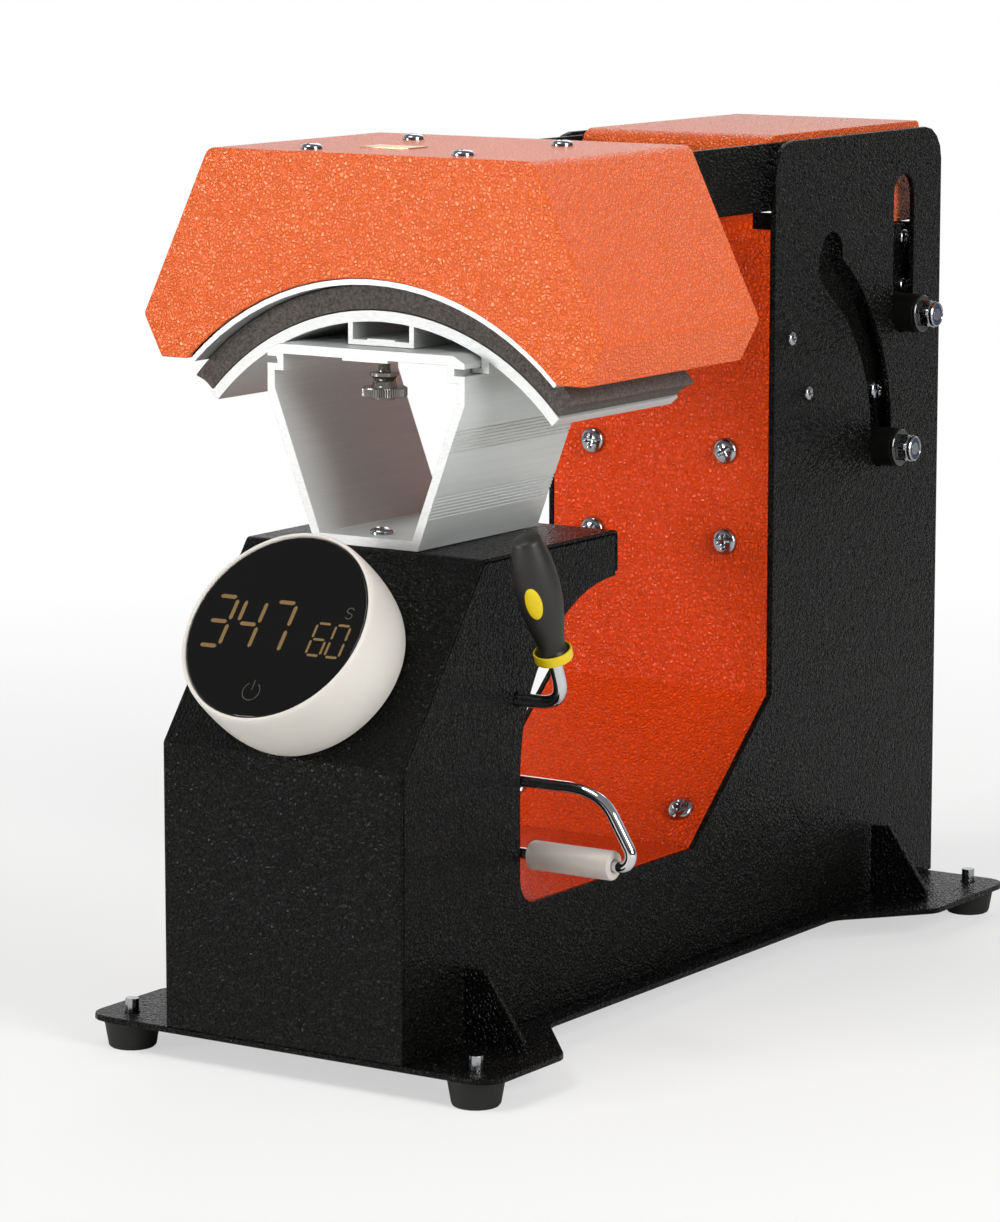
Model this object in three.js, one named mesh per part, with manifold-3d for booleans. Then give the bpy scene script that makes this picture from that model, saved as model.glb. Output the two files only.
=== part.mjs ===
// Cap heat press: a C-shaped sheet steel frame, a curved lower platen on an extruded post,
// an electrically lifted heating head and a cap tensioner with a side lever.
// Millimetres. X to the right, Y to the back, Z up. Y = 0 is the front sheet and Z = 0 the top of
// the base plate until the whole press is set on its feet at the end of the file.
import * as THREE from 'three';
import { mergeGeometries, mergeVertices } from 'three/addons/utils/BufferGeometryUtils.js';
import Module from 'manifold-3d';

const wasm = await Module();
wasm.setup();

// Driving dimensions
const bodyWidth = 115;
const plateThickness = 2.5;
const sheetThickness = 1.5;
const foldRadius = 2.5;
const seatGap = 0.3;
const cutOverrun = 4;

const pedestalHeight = 116.5;
const deckFront = 57.2;
const deckHeight = 192;
const deckEdge = 19;
const pedestalDepth = 84;
const throatRadius = 71;
const throatCornerRadius = 11;
const throatFloor = 47.8;
const throatFloorRear = 218;
const columnFront = 282.4;
const columnSlopeTop = 104.4;
const columnRear = 431;
const columnHeight = 343;
const columnCornerRadius = 15;

const halfBody = bodyWidth / 2;
const innerHalf = halfBody - plateThickness;
const sheetInset = sheetThickness + seatGap;

// Geometry helpers
const toYZ = new THREE.Matrix4().makeBasis(
  new THREE.Vector3(0, 1, 0), new THREE.Vector3(0, 0, 1), new THREE.Vector3(1, 0, 0));
const toXZ = new THREE.Matrix4().makeBasis(
  new THREE.Vector3(1, 0, 0), new THREE.Vector3(0, 0, 1), new THREE.Vector3(0, -1, 0));

// Closed outline from corner points [a, b, radius, steps]; a corner with a radius is rounded.
function rounded(corners) {
  const points = [];
  corners.forEach((corner, i) => {
    const [a, b, radius = 0, steps = 4] = corner;
    const here = new THREE.Vector2(a, b);
    if (!radius) {
      points.push(here);
      return;
    }
    const before = corners[(i + corners.length - 1) % corners.length];
    const after = corners[(i + 1) % corners.length];
    const back = new THREE.Vector2(before[0], before[1]).sub(here).normalize();
    const ahead = new THREE.Vector2(after[0], after[1]).sub(here).normalize();
    const half = Math.acos(THREE.MathUtils.clamp(back.dot(ahead), -1, 1)) / 2;
    const reach = radius / Math.tan(half);
    const centre = back.clone().add(ahead).normalize().multiplyScalar(radius / Math.sin(half)).add(here);
    const from = back.clone().multiplyScalar(reach).add(here).sub(centre);
    const to = ahead.clone().multiplyScalar(reach).add(here).sub(centre);
    const sweep = Math.atan2(from.cross(to), from.dot(to));
    for (let k = 0; k <= steps; k++) {
      const turned = from.clone().rotateAround(new THREE.Vector2(), sweep * k / steps);
      points.push(turned.add(centre));
    }
  });
  return points;
}

// Closed outline of a folded sheet: its outer line, and the same line moved to the right by a wall.
function folded(line, wall) {
  const shifted = line.map((corner, i) => {
    const here = new THREE.Vector2(corner[0], corner[1]);
    const normals = [];
    for (const [from, to] of [[i - 1, i], [i, i + 1]]) {
      if (from < 0 || to >= line.length) continue;
      const run = new THREE.Vector2(line[to][0] - line[from][0], line[to][1] - line[from][1]).normalize();
      normals.push(new THREE.Vector2(run.y, -run.x));
    }
    const sum = normals.reduce((total, normal) => total.add(normal), new THREE.Vector2());
    const mitre = sum.normalize();
    const moved = here.addScaledVector(mitre, wall / mitre.dot(normals[0]));
    const turnsRight = i > 0 && i < line.length - 1 && turnOf(line, i) < 0;
    const inner = corner[2] ? Math.max(corner[2] + (turnsRight ? -wall : wall), 0) : 0;
    return inner ? [moved.x, moved.y, inner, corner[3]] : [moved.x, moved.y];
  });
  return rounded([...line, ...shifted.reverse()]);
}

function turnOf(line, i) {
  const before = new THREE.Vector2(line[i][0] - line[i - 1][0], line[i][1] - line[i - 1][1]);
  const after = new THREE.Vector2(line[i + 1][0] - line[i][0], line[i + 1][1] - line[i][1]);
  return before.cross(after);
}

function circlePath(a, b, radius, sides = 24) {
  const points = [];
  for (let i = 0; i < sides; i++) {
    const angle = 2 * Math.PI * i / sides;
    points.push(new THREE.Vector2(a + radius * Math.cos(angle), b + radius * Math.sin(angle)));
  }
  return new THREE.Path(points);
}

function extrude(points, length, holes = []) {
  const shape = new THREE.Shape(points);
  shape.holes = holes;
  return new THREE.ExtrudeGeometry(shape, { depth: length, bevelEnabled: false });
}

// Prism of a (y, z) outline between two places along X.
function alongX(points, x0, x1, holes) {
  return extrude(points, x1 - x0, holes).applyMatrix4(toYZ).translate(x0, 0, 0);
}

// Prism of an (x, z) outline between two places along Y.
function alongY(points, y0, y1, holes) {
  return extrude(points, y1 - y0, holes).applyMatrix4(toXZ).translate(0, y1, 0);
}

// Prism of an (x, y) outline between two heights.
function alongZ(points, z0, z1, holes) {
  return extrude(points, z1 - z0, holes).translate(0, 0, z0);
}

function block(x0, x1, y0, y1, z0, z1) {
  return new THREE.BoxGeometry(x1 - x0, y1 - y0, z1 - z0)
    .translate((x0 + x1) / 2, (y0 + y1) / 2, (z0 + z1) / 2);
}

// Round rod along an axis, given by its middle and its two ends on that axis.
function rod(axis, a, b, from, to, radius, sides = 16) {
  const points = circlePath(a, b, radius, sides).getPoints();
  const make = { x: alongX, y: alongY, z: alongZ }[axis];
  return make(points, from, to);
}

// Body of revolution about Z from [radius, height] pairs that start and end on the axis.
function turned(profile, sides = 28) {
  const points = profile.map(([radius, height]) => new THREE.Vector2(radius, height));
  return new THREE.LatheGeometry(points, sides).rotateX(Math.PI / 2);
}

// Ring of revolution about Z from a closed loop of [radius, height] pairs.
function turnedRing(profile, sides = 40) {
  return turned([...profile, profile[0]], sides);
}

// Point on the circle of the curved platens at an angle from straight up.
function onArc(radius, angle) {
  return [radius * Math.sin(angle), arcCentre + radius * Math.cos(angle)];
}

// Closed outline of a curved plate between two radii.
function arcBand(inner, outer, halfAngle, steps) {
  const points = [];
  for (let i = 0; i <= steps; i++) {
    points.push(onArc(outer, halfAngle - 2 * halfAngle * i / steps));
  }
  for (let i = 0; i <= steps; i++) {
    points.push(onArc(inner, -halfAngle + 2 * halfAngle * i / steps));
  }
  return points.map(([x, z]) => new THREE.Vector2(x, z));
}

function solid(geometry) {
  const bare = geometry.clone();
  bare.deleteAttribute('normal');
  bare.deleteAttribute('uv');
  const merged = mergeVertices(bare, 1e-5);
  return new wasm.Manifold(new wasm.Mesh({
    numProp: 3,
    vertProperties: new Float32Array(merged.attributes.position.array),
    triVerts: new Uint32Array(merged.index.array),
  }));
}

function fromSolid(shape) {
  const mesh = shape.getMesh();
  const geometry = new THREE.BufferGeometry();
  geometry.setAttribute('position', new THREE.BufferAttribute(new Float32Array(mesh.vertProperties), 3));
  geometry.setIndex(new THREE.BufferAttribute(new Uint32Array(mesh.triVerts), 1));
  geometry.computeVertexNormals();
  return geometry;
}

function cut(body, ...tools) {
  return fromSolid(tools.reduce((left, tool) => left.subtract(solid(tool)), solid(body)));
}

function join(first, ...others) {
  return fromSolid(others.reduce((sum, other) => sum.add(solid(other)), solid(first)));
}

function together(parts) {
  return mergeGeometries(parts.map((part) => {
    const bare = part.index ? part.toNonIndexed() : part.clone();
    bare.deleteAttribute('uv');
    return bare;
  }));
}

// Finishes
const finish = (color, roughness, metalness) => ({ color, roughness, metalness });
const blackPowder = finish(0x24241f, 0.5, 0.2);
const orangePowder = finish(0xff6a1c, 0.45, 0.1);
const innerOrange = finish(0xd23c0f, 0.5, 0.1);
const bareAluminium = finish(0xc9ccce, 0.35, 0.9);
const chromed = finish(0xd8d9da, 0.12, 1);
const zinc = finish(0xbfc1c4, 0.3, 0.95);
const rubber = finish(0x23231f, 0.8, 0);
const sponge = finish(0x5a5552, 0.95, 0);
const whitePlastic = finish(0xe8e6e2, 0.4, 0);
const nylon = finish(0xd9cfc4, 0.5, 0);
const blackPlastic = finish(0x161616, 0.4, 0);
const yellowPlastic = finish(0xf2cf12, 0.4, 0);
const darkGlass = finish(0x0b0806, 0.08, 0);
const mineralWool = finish(0xe9e3d2, 0.95, 0);
const heaterFilm = finish(0xb5522a, 0.7, 0);
const circuitGreen = finish(0x14532d, 0.6, 0);

const press = new THREE.Group();

function add(name, geometry, look, parent = press) {
  const mesh = new THREE.Mesh(geometry, new THREE.MeshStandardMaterial(look));
  mesh.name = name;
  parent.add(mesh);
  return mesh;
}

// Lift mechanism: the upper bolt runs straight up, the arm tips about it as it rises, and the
// lower bolt runs in the S slot, which is the path that this linkage gives it.
const liftTravel = 53;
const tiltTravel = THREE.MathUtils.degToRad(46.9);
const boltY = 396.4;
const boltZ = 261.2;
const guideReach = 55.8;
const guideAngle = THREE.MathUtils.degToRad(30.3);
const guideCrank = 13.8;
const crankStart = THREE.MathUtils.degToRad(312.7);
const crankTravel = THREE.MathUtils.degToRad(317);
const rollerRadius = 8.7;
const slotClearance = 0.4;
const slotRadius = rollerRadius + slotClearance;

const guideY = boltY - guideReach * Math.sin(guideAngle);
const guideZ = boltZ - guideReach * Math.cos(guideAngle);

// Centre of the lower bolt when the head has opened by a share of its travel.
function lowerBoltAt(share) {
  const lean = guideAngle + tiltTravel * share;
  const crank = crankStart + (crankTravel - tiltTravel) * share;
  return new THREE.Vector2(
    boltY - guideReach * Math.sin(lean) + guideCrank * Math.cos(crank),
    boltZ + liftTravel * share - guideReach * Math.cos(lean) + guideCrank * Math.sin(crank));
}

const slotSteps = 24;
const lowerPath = Array.from({ length: slotSteps + 1 }, (_, i) => lowerBoltAt(i / slotSteps));

// Outline of everything within a radius of a path: its two sides and its round ends, less the
// points that another part of the path already covers
function slotAround(path, radius, endSides = 8) {
  const last = path.length - 1;
  const headings = path.map((_, i) => path[Math.min(i + 1, last)].clone().sub(path[Math.max(i - 1, 0)]).angle());
  const at = (i, turn) => new THREE.Vector2(radius, 0).rotateAround(new THREE.Vector2(), headings[i] + turn)
    .add(path[i]);
  const points = path.map((_, i) => at(i, -Math.PI / 2));
  for (let k = 1; k < endSides; k++) points.push(at(last, -Math.PI / 2 + Math.PI * k / endSides));
  for (let i = last; i >= 0; i--) points.push(at(i, Math.PI / 2));
  for (let k = 1; k < endSides; k++) points.push(at(0, Math.PI / 2 + Math.PI * k / endSides));
  return points.filter((point) => path.every((centre) => centre.distanceTo(point) > radius * 0.998));
}

// Base plate with four foot ears and the welded gussets that steady the side plates
const baseThickness = 2.5;
const baseRear = 429;
const flangeWidth = 10;
const earHalf = 99;
const earCornerRadius = 10;
const earFilletRadius = 14;
const frontEarDepth = 52;
const frontEarEnd = 90;
const rearEarStart = 322;
const rearEarFull = 360;
const footX = 84;
const footInset = 12;
const footBoltRadius = 2.9;
const boltFit = 0.4;
const flangeHalf = halfBody + flangeWidth;
const footPlaces = [];
for (const x of [-footX, footX]) {
  for (const y of [footInset, baseRear - footInset]) {
    footPlaces.push([x, y]);
  }
}
const rightEdge = [
  [earHalf, 0, earCornerRadius], [earHalf, frontEarDepth, earCornerRadius],
  [flangeHalf, frontEarEnd, earFilletRadius], [flangeHalf, rearEarStart, earFilletRadius],
  [earHalf, rearEarFull, earCornerRadius], [earHalf, baseRear, earCornerRadius],
];
const leftEdge = rightEdge.map(([x, y, radius]) => [-x, y, radius]).reverse();
const footHoles = footPlaces.map(([x, y]) => circlePath(x, y, footBoltRadius + boltFit, 10));
const gussetThickness = 3;
const gussetHeight = 31;
const gussetTop = 9.5;
const gussetReach = 28.5;
const gussetToe = 4;
const gussetRows = [42.5, 372.5];
const gussets = gussetRows.flatMap((y) => [-1, 1].map((side) => alongY(rounded([
  [side * (halfBody + seatGap), -baseThickness / 2], [side * (halfBody + gussetReach), -baseThickness / 2],
  [side * (halfBody + gussetReach), gussetToe], [side * (halfBody + gussetTop), gussetHeight],
  [side * (halfBody + seatGap), gussetHeight],
]), y, y + gussetThickness)));
add('base_plate', join(
  alongZ(rounded([...rightEdge, ...leftEdge]), -baseThickness, 0, footHoles), ...gussets), blackPowder);

// Side plates with both guide slots and the lever shaft's hole
const shaftY = 81.6;
const shaftZ = 132.8;
const shaftRadius = 2.5;
const shaftFit = 0.4;
const screwFit = 0.2;
const headSeat = 0.05;
const slopeRun = new THREE.Vector2(deckFront, deckHeight - pedestalHeight);
const throatRear = pedestalDepth + throatRadius;
const throatTop = deckHeight - deckEdge;
// Corners of the front panel's line moved inwards by its own wall and a seat gap
const frontFoldZ = pedestalHeight - sheetInset * Math.tan((Math.PI / 2 - slopeRun.angle()) / 2);
const deckFoldY = deckFront + sheetInset * Math.tan(slopeRun.angle() / 2);
const sideOutline = rounded([
  [sheetInset, 0], [columnRear, 0], [columnRear, columnHeight, columnCornerRadius],
  [columnFront, columnHeight, columnCornerRadius], [columnFront, columnSlopeTop],
  [throatFloorRear, throatFloor], [pedestalDepth, throatFloor, throatCornerRadius],
  [pedestalDepth, throatTop, throatRadius, 16], [throatRear, throatTop],
  [throatRear, deckHeight - sheetInset], [deckFoldY, deckHeight - sheetInset], [sheetInset, frontFoldZ],
]);
const straightPath = [new THREE.Vector2(boltY, boltZ), new THREE.Vector2(boltY, boltZ + liftTravel)];
const sideHoles = [
  new THREE.Path(slotAround(straightPath, slotRadius)),
  new THREE.Path(slotAround(lowerPath, slotRadius)),
  circlePath(shaftY, shaftZ, shaftRadius + shaftFit, 12),
];
add('side_plate_left', alongX(sideOutline, -halfBody, -innerHalf, sideHoles), blackPowder);
add('side_plate_right', alongX(sideOutline, innerHalf, halfBody, sideHoles), blackPowder);

// Front panel: front, sloped control face and deck in one folded sheet
const deckLipZ = throatTop + sheetThickness + seatGap;
add('front_panel', alongX(folded([
  [0, 0], [0, pedestalHeight, foldRadius], [deckFront, deckHeight, foldRadius],
  [throatRear + sheetInset, deckHeight, foldRadius], [throatRear + sheetInset, deckLipZ],
], sheetThickness), -halfBody, halfBody), blackPowder);

// Pedestal rear panel: follows the throat between the side plates, notched for the swing arms
const panelFit = 0.3;
const panelHalf = innerHalf - panelFit;
const armInner = 45;
const armThickness = 2.5;
const armOuter = armInner + armThickness;
const armFit = 0.8;
const notchBottom = 61;
const notchTop = 150;
const rearPanelBottom = throatFloor + throatCornerRadius;
const rearPanelBlank = alongX(folded([
  [throatRear + sheetInset, throatTop], [pedestalDepth, throatTop, throatRadius, 14],
  [pedestalDepth, rearPanelBottom],
], sheetThickness), -panelHalf, panelHalf);
const armNotches = [-1, 1].map((side) => block(
  Math.min(side * (armInner - armFit), side * (panelHalf + cutOverrun)),
  Math.max(side * (armInner - armFit), side * (panelHalf + cutOverrun)),
  pedestalDepth - throatRadius, throatRear, notchBottom, notchTop));
add('pedestal_rear_panel', cut(rearPanelBlank, ...armNotches), innerOrange);

// Throat floor: orange sheet between the side plates that turns up behind the pedestal
add('throat_floor_panel', alongX(folded([
  [pedestalDepth, rearPanelBottom - seatGap], [pedestalDepth, throatFloor, throatCornerRadius - seatGap * 2],
  [throatFloorRear - seatGap, throatFloor],
], sheetThickness), -panelHalf, panelHalf), innerOrange);

// Column front panel: upright sheet with a sloping foot, with a tongue between the arm's cheeks
const beamBottom = 313;
const cheekOuter = 50;
const cheekThickness = 2.5;
const cheekInner = cheekOuter - cheekThickness;
const shoulderZ = 305.7;
const tongueHalf = 45.5;
const frontPanelBlank = alongX(folded([
  [throatFloorRear, throatFloor], [columnFront, columnSlopeTop, foldRadius], [columnFront, beamBottom - panelFit],
], sheetThickness), -panelHalf, panelHalf);
const shoulderNotches = [-1, 1].map((side) => block(
  Math.min(side * tongueHalf, side * (panelHalf + cutOverrun)),
  Math.max(side * tongueHalf, side * (panelHalf + cutOverrun)),
  columnFront - cutOverrun, columnFront + cutOverrun, shoulderZ, beamBottom + cutOverrun));
add('column_front_panel', cut(frontPanelBlank, ...shoulderNotches), innerOrange);

// Column brace: angle strip between the side plates behind the panel's shoulders
const braceTop = beamBottom - 1;
const braceHeight = 18;
const braceDepth = 10;
const braceWall = 2;
const braceFront = columnFront + sheetInset;
add('column_brace', alongX(rounded([
  [braceFront, braceTop - braceHeight], [braceFront + braceWall, braceTop - braceHeight],
  [braceFront + braceWall, braceTop - braceWall], [braceFront + braceDepth, braceTop - braceWall],
  [braceFront + braceDepth, braceTop], [braceFront, braceTop],
]), -panelHalf, panelHalf), blackPowder);

// Rear cover with vent slots and the cut-outs for the inlet and the switch
const rearCoverTop = 299;
const ventCount = 7;
const ventPitch = 9;
const ventWidth = 3.4;
const ventHalf = 32;
const ventFirst = 120;
const inletZ = 38;
const inletHalfWidth = 13.6;
const inletHalfHeight = 10.2;
const switchZ = 78;
const switchHalfWidth = 10.2;
const switchHalfHeight = 6.8;
const cutFit = 0.3;
const vents = Array.from({ length: ventCount }, (_, i) => {
  const z = ventFirst + ventPitch * i;
  return new THREE.Path(rounded([
    [-ventHalf, z - ventWidth / 2], [ventHalf, z - ventWidth / 2],
    [ventHalf, z + ventWidth / 2], [-ventHalf, z + ventWidth / 2],
  ]));
});
function window4(halfWidth, halfHeight, z) {
  return new THREE.Path(rounded([
    [-halfWidth, z - halfHeight], [halfWidth, z - halfHeight],
    [halfWidth, z + halfHeight], [-halfWidth, z + halfHeight],
  ]));
}
const rearCoverOutline = rounded([
  [-panelHalf, 0], [panelHalf, 0], [panelHalf, rearCoverTop], [-panelHalf, rearCoverTop],
]);
add('rear_cover', alongY(rearCoverOutline, columnRear - sheetThickness, columnRear, [
  ...vents,
  window4(inletHalfWidth + cutFit, inletHalfHeight + cutFit, inletZ),
  window4(switchHalfWidth + cutFit, switchHalfHeight + cutFit, switchZ),
]), blackPowder);

// Power inlet: a recessed three-pin socket snapped into the rear cover
const bezel = 2.4;
const bezelDepth = 2.2;
const inletDepth = 20;
const socketDepth = 14;
const socketWall = 2.6;
const pinHalfWidth = 1;
const pinHalfHeight = 2;
const pinPitch = 7;
const inletBody = join(
  block(-inletHalfWidth, inletHalfWidth, columnRear - inletDepth, columnRear + bezelDepth,
    inletZ - inletHalfHeight, inletZ + inletHalfHeight),
  block(-inletHalfWidth - bezel, inletHalfWidth + bezel, columnRear + headSeat, columnRear + bezelDepth,
    inletZ - inletHalfHeight - bezel, inletZ + inletHalfHeight + bezel));
const socketHalf = inletHalfWidth - socketWall;
const socketTall = inletHalfHeight - socketWall;
const socketChamfer = socketTall / 2;
const socketShape = rounded([
  [-socketHalf, inletZ - socketTall], [socketHalf, inletZ - socketTall],
  [socketHalf, inletZ + socketTall - socketChamfer], [socketHalf - socketChamfer, inletZ + socketTall],
  [-socketHalf + socketChamfer, inletZ + socketTall], [-socketHalf, inletZ + socketTall - socketChamfer],
]);
const socketBottom = columnRear + bezelDepth - socketDepth;
const inletPins = [-1, 0, 1].map((i) => block(
  i * pinPitch - pinHalfWidth, i * pinPitch + pinHalfWidth, socketBottom - cutFit, columnRear,
  inletZ - pinHalfHeight, inletZ + pinHalfHeight));
add('power_inlet', join(
  cut(inletBody, alongY(socketShape, socketBottom, columnRear + bezelDepth + cutOverrun)), ...inletPins),
blackPlastic);

// Rocker switch: a frame in the rear cover and the rocker that tips in it
const switchDepth = 14;
const rockerWall = 1.8;
const rockerFit = 0.9;
const rockerTip = 1.8;
const rockerHalf = switchHalfWidth - rockerWall - rockerFit;
const rockerTall = switchHalfHeight - rockerWall - rockerFit;
const switchFrame = join(
  block(-switchHalfWidth, switchHalfWidth, columnRear - switchDepth, columnRear + bezelDepth,
    switchZ - switchHalfHeight, switchZ + switchHalfHeight),
  block(-switchHalfWidth - bezel, switchHalfWidth + bezel, columnRear + headSeat, columnRear + bezelDepth,
    switchZ - switchHalfHeight - bezel, switchZ + switchHalfHeight + bezel));
const switchWell = block(
  -switchHalfWidth + rockerWall, switchHalfWidth - rockerWall,
  columnRear - switchDepth + rockerWall, columnRear + bezelDepth + cutOverrun,
  switchZ - switchHalfHeight + rockerWall, switchZ + switchHalfHeight - rockerWall);
add('switch_frame', cut(switchFrame, switchWell), blackPlastic);
const rockerPivotY = columnRear - bezelDepth;
const rockerFace = columnRear + bezelDepth - rockerPivotY;
const rockerBack = -(switchDepth / 3);
add('rocker_switch', alongZ(rounded([
  [-rockerHalf, rockerBack / 2], [-rockerHalf / 3, rockerBack], [rockerHalf / 3, rockerBack],
  [rockerHalf, rockerBack / 2], [rockerHalf, rockerFace + rockerTip / 3], [0, rockerFace - rockerTip / 3],
  [-rockerHalf, rockerFace + rockerTip],
]), -rockerTall, rockerTall).translate(0, rockerPivotY, switchZ), blackPlastic);

// Rubber feet, each with its bolt standing up through the base plate
const footHeight = 11.5;
const footTopRadius = 12;
const footBottomRadius = 9.8;
const footWell = 6;
const footWellRadius = 5.4;
const footBoltLength = 17;
const footBoltHead = 3;
const footBoltHeadRadius = 5;
const footProfile = [
  [footBoltRadius + boltFit, footWell], [footWellRadius, footWell], [footWellRadius, 0],
  [footBottomRadius - 1, 0], [footBottomRadius, 1], [footTopRadius - 0.6, footHeight - 1.4],
  [footTopRadius, footHeight], [footBoltRadius + boltFit, footHeight],
];
const footBoltProfile = [
  [0, 0], [footBoltHeadRadius, 0], [footBoltHeadRadius, footBoltHead - headSeat],
  [footBoltRadius, footBoltHead - headSeat], [footBoltRadius, footBoltLength], [0, footBoltLength],
];
const footNames = ['front_left', 'rear_left', 'front_right', 'rear_right'];
const floorLevel = -baseThickness - footHeight;
footPlaces.forEach(([x, y], i) => {
  add(`foot_${footNames[i]}`, turnedRing(footProfile, 18).translate(x, y, floorLevel), rubber);
  add(`foot_bolt_${footNames[i]}`,
    turned(footBoltProfile, 10).translate(x, y, floorLevel + footWell - footBoltHead), zinc);
});

// Platen post: hollow aluminium extrusion with rail grooves, fine ribs and an opening under its top
const postFront = 58.7;
const postDepth = 87.3;
const postTopZ = 270;
const postTopHalf = 47.7;
const postFootHalf = 25.1;
const postWall = 3;
const postTopWall = 4;
const grooveTop = 5;
const grooveHeight = 3.4;
const grooveDepth = 4.6;
const shoulderDrop = 17.5;
const lipHalf = 38.9;
const lipDrop = 9.4;
const boreStripHalf = 9;
const boreStrip = 1.6;
const ribCount = 5;
const ribPitch = 1.7;
const ribDepth = 0.5;
const ribGroupShares = [0.14, 0.62];
const postRear = postFront + postDepth;
const postFoot = deckHeight + seatGap;
const shoulderBottom = postTopZ - shoulderDrop;
const wallRun = new THREE.Vector2(postFootHalf - postTopHalf, postFoot - shoulderBottom);
const wallLength = wallRun.length();
const wallOut = new THREE.Vector2(-wallRun.y, wallRun.x).normalize();
function ribbedWall() {
  const points = [new THREE.Vector2(postTopHalf, shoulderBottom)];
  for (const share of ribGroupShares) {
    for (let i = 0; i < ribCount; i++) {
      const along = wallLength * share + ribPitch * i;
      for (const [step, depth] of [[0, 0], [ribPitch / 4, ribDepth], [ribPitch / 2, 0]]) {
        points.push(wallRun.clone().setLength(along + step)
          .add(new THREE.Vector2(postTopHalf, shoulderBottom)).addScaledVector(wallOut, -depth));
      }
    }
  }
  points.push(new THREE.Vector2(postFootHalf, postFoot));
  return points;
}
const postRight = [
  new THREE.Vector2(postTopHalf, postTopZ),
  new THREE.Vector2(postTopHalf, postTopZ - grooveTop),
  new THREE.Vector2(postTopHalf - grooveDepth, postTopZ - grooveTop),
  new THREE.Vector2(postTopHalf - grooveDepth, postTopZ - grooveTop - grooveHeight),
  new THREE.Vector2(postTopHalf, postTopZ - grooveTop - grooveHeight),
  ...ribbedWall(),
];
const postOuter = [...postRight, ...postRight.map((p) => new THREE.Vector2(-p.x, p.y)).reverse()].reverse();
const lipBottom = postTopZ - lipDrop;
const wallCos = Math.abs(wallRun.y) / wallLength;
const innerHalfAt = (z) => postTopHalf + (shoulderBottom - z) * wallRun.x / Math.abs(wallRun.y) - postWall / wallCos;
const footInnerZ = postFoot + postWall;
const postBoreRight = [
  [boreStripHalf, postTopZ - postTopWall - boreStrip], [boreStripHalf, postTopZ - postTopWall],
  [lipHalf, postTopZ - postTopWall], [lipHalf, lipBottom], [innerHalfAt(shoulderBottom), lipBottom],
  [innerHalfAt(shoulderBottom), shoulderBottom], [innerHalfAt(footInnerZ), footInnerZ],
].map(([x, z]) => new THREE.Vector2(x, z));
const postBore = new THREE.Path([
  ...postBoreRight, ...postBoreRight.map((p) => new THREE.Vector2(-p.x, p.y)).reverse()]);
const thumbY = 72.5;
const thumbThreadRadius = 3;
const thumbHole = rod('z', 0, thumbY, postTopZ - postTopWall - boreStrip - cutOverrun,
  postTopZ + cutOverrun, thumbThreadRadius + screwFit, 16);
add('platen_post', cut(alongY(postOuter, postFront, postRear, [postBore]), thumbHole),
  bareAluminium);

// Platen: curved extrusion with a box rib on the post and hooked rails in the post's grooves
const arcCentre = 172.5;
const platenRadius = 113.2;
const platenThickness = 3.5;
const platenHalfAngle = THREE.MathUtils.degToRad(47.5);
const platenFront = 70;
const platenDepth = 89;
const platenRear = platenFront + platenDepth;
const ribHalf = 16;
const ribWall = 1.9;
const ribFloor = 2.2;
const railWall = 2;
const hookReach = 3.9;
const hookHeight = 2.6;
const arcSteps = 22;
const platenInner = platenRadius - platenThickness;
const underArc = (x) => arcCentre + Math.sqrt(platenInner * platenInner - x * x);
const sunkJoint = platenThickness / 2;
const ribBottom = postTopZ + seatGap;
const railInner = postTopHalf + seatGap;
const hookTop = postTopZ - grooveTop - seatGap;
const platenParts = [alongY([
  [-ribHalf, ribBottom], [ribHalf, ribBottom], [ribHalf, underArc(ribHalf) + sunkJoint],
  [ribHalf - ribWall, underArc(ribHalf) + sunkJoint], [ribHalf - ribWall, ribBottom + ribFloor],
  [-ribHalf + ribWall, ribBottom + ribFloor], [-ribHalf + ribWall, underArc(ribHalf) + sunkJoint],
  [-ribHalf, underArc(ribHalf) + sunkJoint],
].map(([x, z]) => new THREE.Vector2(x, z)), platenFront, platenRear)];
for (const side of [-1, 1]) {
  const rail = [
    [railInner, underArc(railInner) + sunkJoint], [railInner, hookTop], [railInner - hookReach, hookTop],
    [railInner - hookReach, hookTop - hookHeight], [railInner + railWall, hookTop - hookHeight],
    [railInner + railWall, underArc(railInner) + sunkJoint],
  ].map(([x, z]) => new THREE.Vector2(side * x, z));
  platenParts.push(alongY(side < 0 ? rail : rail.reverse(), platenFront, platenRear));
}
add('platen', join(
  alongY(arcBand(platenInner, platenRadius, platenHalfAngle, arcSteps), platenFront, platenRear),
  ...platenParts), bareAluminium);

// Silicone sponge pad on the platen
const padThickness = 10.2;
const padInner = platenRadius + seatGap;
const padRadius = padInner + padThickness;
add('foam_pad', alongY(arcBand(padInner, padRadius, platenHalfAngle, arcSteps), platenFront, platenRear), sponge);

// Thumb screw through the post's top, with a collar and a knurled disc
const discRadius = 11.4;
const discHeight = 5.6;
const discTop = 256.2;
const collarRadius = 6.4;
const collarHeight = 5;
const neckRadius = 4.6;
const knurlTeeth = 16;
const knurlDepth = 0.7;
const thumbTip = postTopZ - headSeat;
const knurled = Array.from({ length: knurlTeeth * 2 }, (_, i) => {
  const radius = i % 2 ? discRadius : discRadius - knurlDepth;
  const angle = Math.PI * i / knurlTeeth;
  return new THREE.Vector2(radius * Math.cos(angle), radius * Math.sin(angle));
});
add('thumb_screw', join(
  alongZ(knurled, discTop - discHeight, discTop),
  turned([
    [0, discTop - discHeight - 1], [neckRadius, discTop - discHeight - 1], [neckRadius, discTop],
    [collarRadius, discTop + 1], [collarRadius, discTop + collarHeight - 1],
    [neckRadius, discTop + collarHeight], [thumbThreadRadius, discTop + collarHeight],
    [thumbThreadRadius, thumbTip], [0, thumbTip],
  ], 14)).translate(0, thumbY, 0), zinc);

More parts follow.
